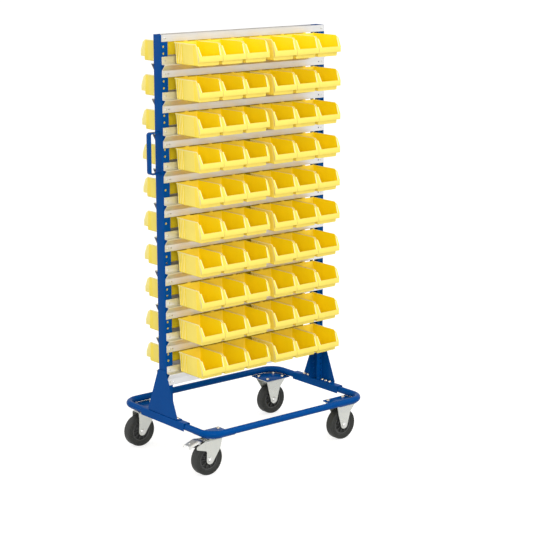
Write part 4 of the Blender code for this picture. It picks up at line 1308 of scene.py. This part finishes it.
class BINCART_OT_forks(Operator):
    """Build the swivel and fixed forks and their plates"""
    bl_idname = "bincart.forks"
    bl_label = "Forks"

    def execute(self, context):
        sizes = context.scene.bincart_castor
        for tag in CORNERS:
            if tag in SWIVELS:
                self.swivel_plate(sizes, tag)
                self.swivel_fork(sizes, tag)
            else:
                self.fixed_fork(sizes, tag)
        return {"FINISHED"}

    def top_plate(self, sizes, middle, top):
        half = Vector((sizes.plate_length, sizes.plate_width)) / 2
        corners = rectangle(middle.xy - half, middle.xy + half, sizes.plate_corner, 5)
        return bevelled(drawn("plate", corners, "Z", top - sizes.sheet, top), sizes.plate_edge, 1)

    def swivel_plate(self, sizes, tag):
        """A swivel castor's top plate with its race."""
        node = f"swivel_plate_{tag}"
        low, high, middle = span(node)
        under = high.z - sizes.sheet
        race = [(out, under - drop) for out, drop in RACE_UPPER]
        race += [(out, low.z + rise) for out, rise in RACE_LOWER]
        turning = lathed("race", race, 48, (middle.x, middle.y, 0), "Z")
        piece = joined(f"castor_plate_{tag}", [self.top_plate(sizes, middle, high.z), turning])
        dressed(piece, "plated_fork", body_of(node), node)

    def swivel_fork(self, sizes, tag):
        """A folded channel over the wheel, cut to its outline; the braked one is open over its nose."""
        node = f"swivel_fork_{tag}"
        low, high, _ = span(node)
        pivot = span(f"swivel_plate_{tag}")[2]
        axle = span(f"axle_{tag}")[2]
        inner = sizes.fork_gap / 2
        outer = inner + sizes.sheet
        crown, spare = high.z, sizes.washer
        foot = low.z - spare
        profile = line_of((pivot.y + outer, foot), (pivot.y + outer, crown), (pivot.y - outer, crown),
                          (pivot.y - outer, foot))
        fork = drawn(f"turning_fork_{tag}", folded(profile, sizes.sheet, sizes.crown_bend, 7), "X",
                     low.x - spare, high.x + spare)
        throat, shoulder = pivot.x - sizes.throat_x, pivot.x - sizes.shoulder_x
        outline = [((high.x, crown + spare), 0), ((high.x, crown), CROWN_RADIUS),
                   ((pivot.x + sizes.knee_x, crown - sizes.knee_drop), KNEE_RADIUS)]
        outline += [(point, 0) for point in arc((axle.x, axle.z), axle.z - low.z, -38, -180, 14)]
        if tag == BRAKED:
            nose = ((throat, crown - sizes.throat_drop), (low.x, crown - sizes.nose_low),
                    (low.x, crown - sizes.nose_high), (shoulder, crown - sizes.shoulder_drop))
            outline += [*zip(nose, NOSE_RADII), ((shoulder, crown + spare), 0)]
        else:
            outline += [((throat, crown - sizes.knee_drop), THROAT_RADIUS), ((throat, crown + spare), 0)]
        cut = drawn("fork_outline", cornered(outline), "Y", pivot.y - 2 * outer, pivot.y + 2 * outer)
        shaped(fork, cut, "INTERSECT")
        if tag == BRAKED:
            opening = drawn("fork_opening", rectangle(
                (low.x - spare, crown - sizes.nose_low), (pivot.x - sizes.crown_end, crown + spare)),
                "Y", pivot.y - inner, pivot.y + inner)
            shaped(fork, opening, "DIFFERENCE")
        dressed(fork, "plated_fork", body_of(node), node, angle=40)

    def fixed_fork(self, sizes, tag):
        """A folded channel whose legs spread to the top plate, cut to its outline."""
        node = f"fixed_fork_{tag}"
        low, high, _ = span(node)
        axle = span(f"axle_{tag}")[2]
        outer = sizes.fork_gap / 2 + sizes.sheet
        wide = outer + sizes.flare
        top, bend, spare = high.z - sizes.sheet / 2, high.z - sizes.flare_height, sizes.washer
        foot = low.z - spare
        profile = line_of(
            (axle.y + outer, foot), (axle.y + outer, bend), (axle.y + wide, top), (axle.y - wide, top),
            (axle.y - outer, bend), (axle.y - outer, foot))
        channel = folded(profile, sizes.sheet, LEG_BENDS, 7)
        fork = drawn("fork", channel, "X", low.x, high.x)
        half, waist = sizes.leg_top / 2, sizes.leg_knee / 2
        knee = high.z - sizes.leg_knee_drop
        left, right = (
            [((axle.x + end * half, high.z + spare), 0),
             ((axle.x + end * half, high.z - sizes.sheet), LEG_TOP_RADIUS),
             ((axle.x + end * waist, knee), LEG_KNEE_RADIUS)] for end in ENDS)
        middle = [(point, 0) for point in arc((axle.x, axle.z), axle.z - low.z, 200, 340, 14)]
        cut = drawn("fork_outline", cornered(left + middle + right[::-1]), "Y",
                    axle.y - 3 * outer, axle.y + 3 * outer)
        shaped(fork, cut, "INTERSECT")
        piece = joined(f"rigid_fork_{tag}", [fork, self.top_plate(sizes, axle, high.z)])
        dressed(piece, "plated_fork", body_of(node), node, angle=40)


class BINCART_OT_pedal(Operator):
    """Build the brake pedal"""
    bl_idname = "bincart.pedal"
    bl_label = "Brake pedal"

    def execute(self, context):
        scene = context.scene
        castor, sizes = scene.bincart_castor, scene.bincart_pedal
        node = f"brake_pedal_{BRAKED}"
        swivel = span(f"swivel_plate_{BRAKED}")[2]
        crown = span(f"swivel_fork_{BRAKED}")[1].z
        pivot = Vector((swivel.x - sizes.pivot_x, swivel.y, crown - sizes.pivot_drop))
        tread = self.tread(sizes, swivel, pivot)
        eye, pin, half = sizes.eye / 2, sizes.eye / 4, sizes.eye_length / 2
        reach = castor.fork_gap / 2 + castor.sheet
        head, round_edge = reach + sizes.pin_head, sizes.pin_head / 2
        bm = bmesh.new()
        turned(bm, rod(eye, -half, half), 24, pivot)
        cap = [(0, head), (eye - round_edge, head), (eye, head - round_edge), (eye, reach), (pin, reach)]
        turned(bm, [(out, -along) for out, along in cap] + cap[::-1], 24, pivot)
        shoe = rectangle((swivel.x - sizes.shoe_far, pivot.z - sizes.shoe_drop),
                         (swivel.x - sizes.shoe_near, pivot.z + sizes.knee_rise - sizes.sheet / 2),
                         sizes.sheet / 2, 2)
        prism(bm, shoe, "Y", pivot.y - sizes.shoe_width / 2, pivot.y + sizes.shoe_width / 2)
        piece = joined("stamped_brake_pedal", [tread, solid("eye", bm)])
        dressed(piece, "bright_plate", body_of(node), node, angle=50)
        return {"FINISHED"}

    def tread(self, sizes, swivel, pivot, steps=8):
        """The stamped sheet, widened into a tread whose edges fall, with a slot near its tip."""
        def here(x, rise):
            return Vector((swivel.x - x, pivot.z + rise))

        bent = rounded([here(sizes.pivot_x, sizes.eye / 2), here(sizes.knee_x, sizes.knee_rise),
                        here(sizes.crest_x, sizes.crest_rise), here(sizes.tip_x, -sizes.tip_drop),
                        here(sizes.tip_x + sizes.sheet, -sizes.tip_drop - sizes.hem)],
                       PEDAL_BENDS, steps=6)
        neck, tread = sizes.neck / 2, sizes.tread / 2
        widen, full = swivel.x - sizes.knee_x, swivel.x - sizes.crest_x
        round_from = swivel.x - sizes.tip_x + sizes.hem * 2
        bm = bmesh.new()
        grid = []
        for point in bent:
            share = min(1.0, max(0.0, (widen - point.x) / (widen - full)))
            half = neck + (tread - neck) * share * share * (3 - 2 * share)
            half -= max(0.0, round_from - point.x) ** 2 * sizes.tip_rounding
            row = []
            for step in range(-steps, steps + 1):
                part = step / steps
                bow = max(0.0, abs(part) - sizes.level_share) / (1 - sizes.level_share)
                fall = sizes.edge_drop * share * bow ** 2
                row.append(bm.verts.new((point.x, pivot.y + part * half, point.y - fall)))
            grid.append(row)
        for first, second in zip(grid, grid[1:]):
            for step in range(2 * steps):
                bm.faces.new((first[step], first[step + 1], second[step + 1], second[step]))
        turn_skin(bm, up=True)
        sheet = walled(linked("tread", bm), sizes.sheet)
        far, side = sizes.slot_x + sizes.slot_width, sizes.slot_length / 2
        slot = rectangle((swivel.x - far, pivot.y - side), (swivel.x - sizes.slot_x, pivot.y + side),
                         sizes.slot_width * 0.45, 4)
        cut = drawn("slot", slot, "Z", pivot.z - sizes.pivot_x, pivot.z + sizes.pivot_x)
        return shaped(sheet, cut, "DIFFERENCE")


# Finishes and studio

class BINCART_OT_finishes(Operator):
    """Make the materials"""
    bl_idname = "bincart.finishes"
    bl_label = "Finishes"

    def execute(self, context):
        tints = context.scene.bincart_finish
        make_paint(tints.paint)
        make_plastic(tints.plastic, tints.deep, tints.pale)
        make_zinc("galvanised_rail", tints.zinc, (0.05, 1, 1), 0.28)
        make_zinc("plated_fork", tints.fork, (1, 1, 0.06), 0.24)
        make_bright("bright_plate", tints.bright, 0.36)
        make_bright("yellow_zinc", tints.brass, 0.22)
        make_rubber(tints.rubber)
        make_hub_plastic(tints.hub)
        return {"FINISHED"}


def seen_directly(tree):
    """1 for rays from the camera and for reflections, so that the background stays white in them."""
    camera, glossy, through = (tree.node("ShaderNodeLightPath", output=f"Is {ray} Ray") for ray in (
        "Camera", "Glossy", "Transmission"))
    return camera.math("MAXIMUM", glossy.math("MAXIMUM", through))


class BINCART_OT_studio(Operator):
    """Set up the floor, the lights and the camera"""
    bl_idname = "bincart.studio"
    bl_label = "Studio"

    def execute(self, context):
        scene = context.scene
        studio = scene.bincart_studio
        self.floor(studio)
        self.world(scene, studio)
        for name, (place, width) in LAMPS.items():
            data = bpy.data.lights.new(name, "AREA")
            data.energy = getattr(studio, name)
            data.size = width
            lamp = link(name, data)
            lamp.location = place
            lamp.rotation_euler = (Vector(LAMP_AIM) - Vector(place)).to_track_quat("-Z", "Y").to_euler()
        camera = link("camera", bpy.data.cameras.new("camera"))
        camera.data.sensor_width = 36.0
        camera.data.lens = studio.lens
        camera.data.clip_end = 200.0
        stand = Matrix.Translation(CAMERA_PLACE)
        for degrees, axis in CAMERA_TURNS:
            stand = stand @ Matrix.Rotation(math.radians(degrees), 4, axis)
        camera.matrix_world = stand
        scene.camera = camera
        scene.view_settings.view_transform = "Standard"
        return {"FINISHED"}

    def floor(self, studio):
        """A white floor that the camera sees as bright as the background."""
        finish = Finish("studio_floor", roughness=0.9)
        grain = finish.noise(3, 2).spread(0.3, 0.7)
        finish.surface(finish.between(grain, (0.5, 0.5, 0.5), 0.98, 1.02), 0.9)
        glow = finish.node("ShaderNodeEmission", sockets={
            "Color": (1, 1, 1, 1), "Strength": studio.floor_glow})
        plain = Value(finish, finish.shader.outputs[0])
        added = finish.node("ShaderNodeAddShader", sockets={0: plain, 1: glow})
        mixed = finish.node("ShaderNodeMixShader", sockets={0: seen_directly(finish), 1: plain, 2: added})
        finish.feed(finish.tree.nodes["Material Output"].inputs["Surface"], mixed)
        half = studio.floor_size / 2
        bm = bmesh.new()
        bm.faces.new([bm.verts.new((*corner, 0)) for corner in rectangle((-half, -half), (half, half))])
        floor = linked("studio_floor", bm)
        floor.data.materials.append(finish.material)

    def world(self, scene, studio):
        """White all round, at full strength only where it is seen directly."""
        scene.world = bpy.data.worlds.new("studio")
        scene.world.use_nodes = True
        tree = Tree(scene.world.node_tree)
        background = tree.tree.nodes["Background"]
        background.inputs["Color"].default_value = (1, 1, 1, 1)
        tree.feed(background.inputs["Strength"], seen_directly(tree) * (1.0 - studio.sky) + studio.sky)


class BINCART_PT_panel(Panel):
    """Lists what builds the bin cart"""
    bl_idname = "BINCART_PT_panel"
    bl_label = "Bin cart"
    bl_space_type = "VIEW_3D"
    bl_region_type = "UI"
    bl_category = "Bin cart"

    def draw(self, context):
        for operator in STEPS:
            self.layout.operator(operator.bl_idname)
        for group in GROUPS:
            sizes = getattr(context.scene, group)
            box = self.layout.box()
            box.label(text=GROUPS[group].__doc__)
            for name in GROUPS[group].__annotations__:
                box.prop(sizes, name)


STEPS = (
    BINCART_OT_finishes, BINCART_OT_studio, BINCART_OT_rails, BINCART_OT_bins, BINCART_OT_uprights,
    BINCART_OT_handle, BINCART_OT_base, BINCART_OT_wheels, BINCART_OT_forks, BINCART_OT_pedal)
GROUPS = {
    "bincart_bin": BinSizes, "bincart_row": RowSizes, "bincart_rail": RailSizes,
    "bincart_steel": SteelSizes, "bincart_castor": CastorSizes, "bincart_pedal": PedalSizes,
    "bincart_finish": FinishColours, "bincart_studio": StudioSettings}


def register():
    for name, group in GROUPS.items():
        bpy.utils.register_class(group)
        setattr(bpy.types.Scene, name, PointerProperty(type=group))
    for cls in (*STEPS, BINCART_PT_panel):
        bpy.utils.register_class(cls)


def unregister():
    for cls in (BINCART_PT_panel, *reversed(STEPS)):
        bpy.utils.unregister_class(cls)
    for name, group in GROUPS.items():
        delattr(bpy.types.Scene, name)
        bpy.utils.unregister_class(group)


def main():
    register()
    for step in STEPS:
        group, name = step.bl_idname.split(".")
        getattr(getattr(bpy.ops, group), name)()


if __name__ == "__main__":
    main()
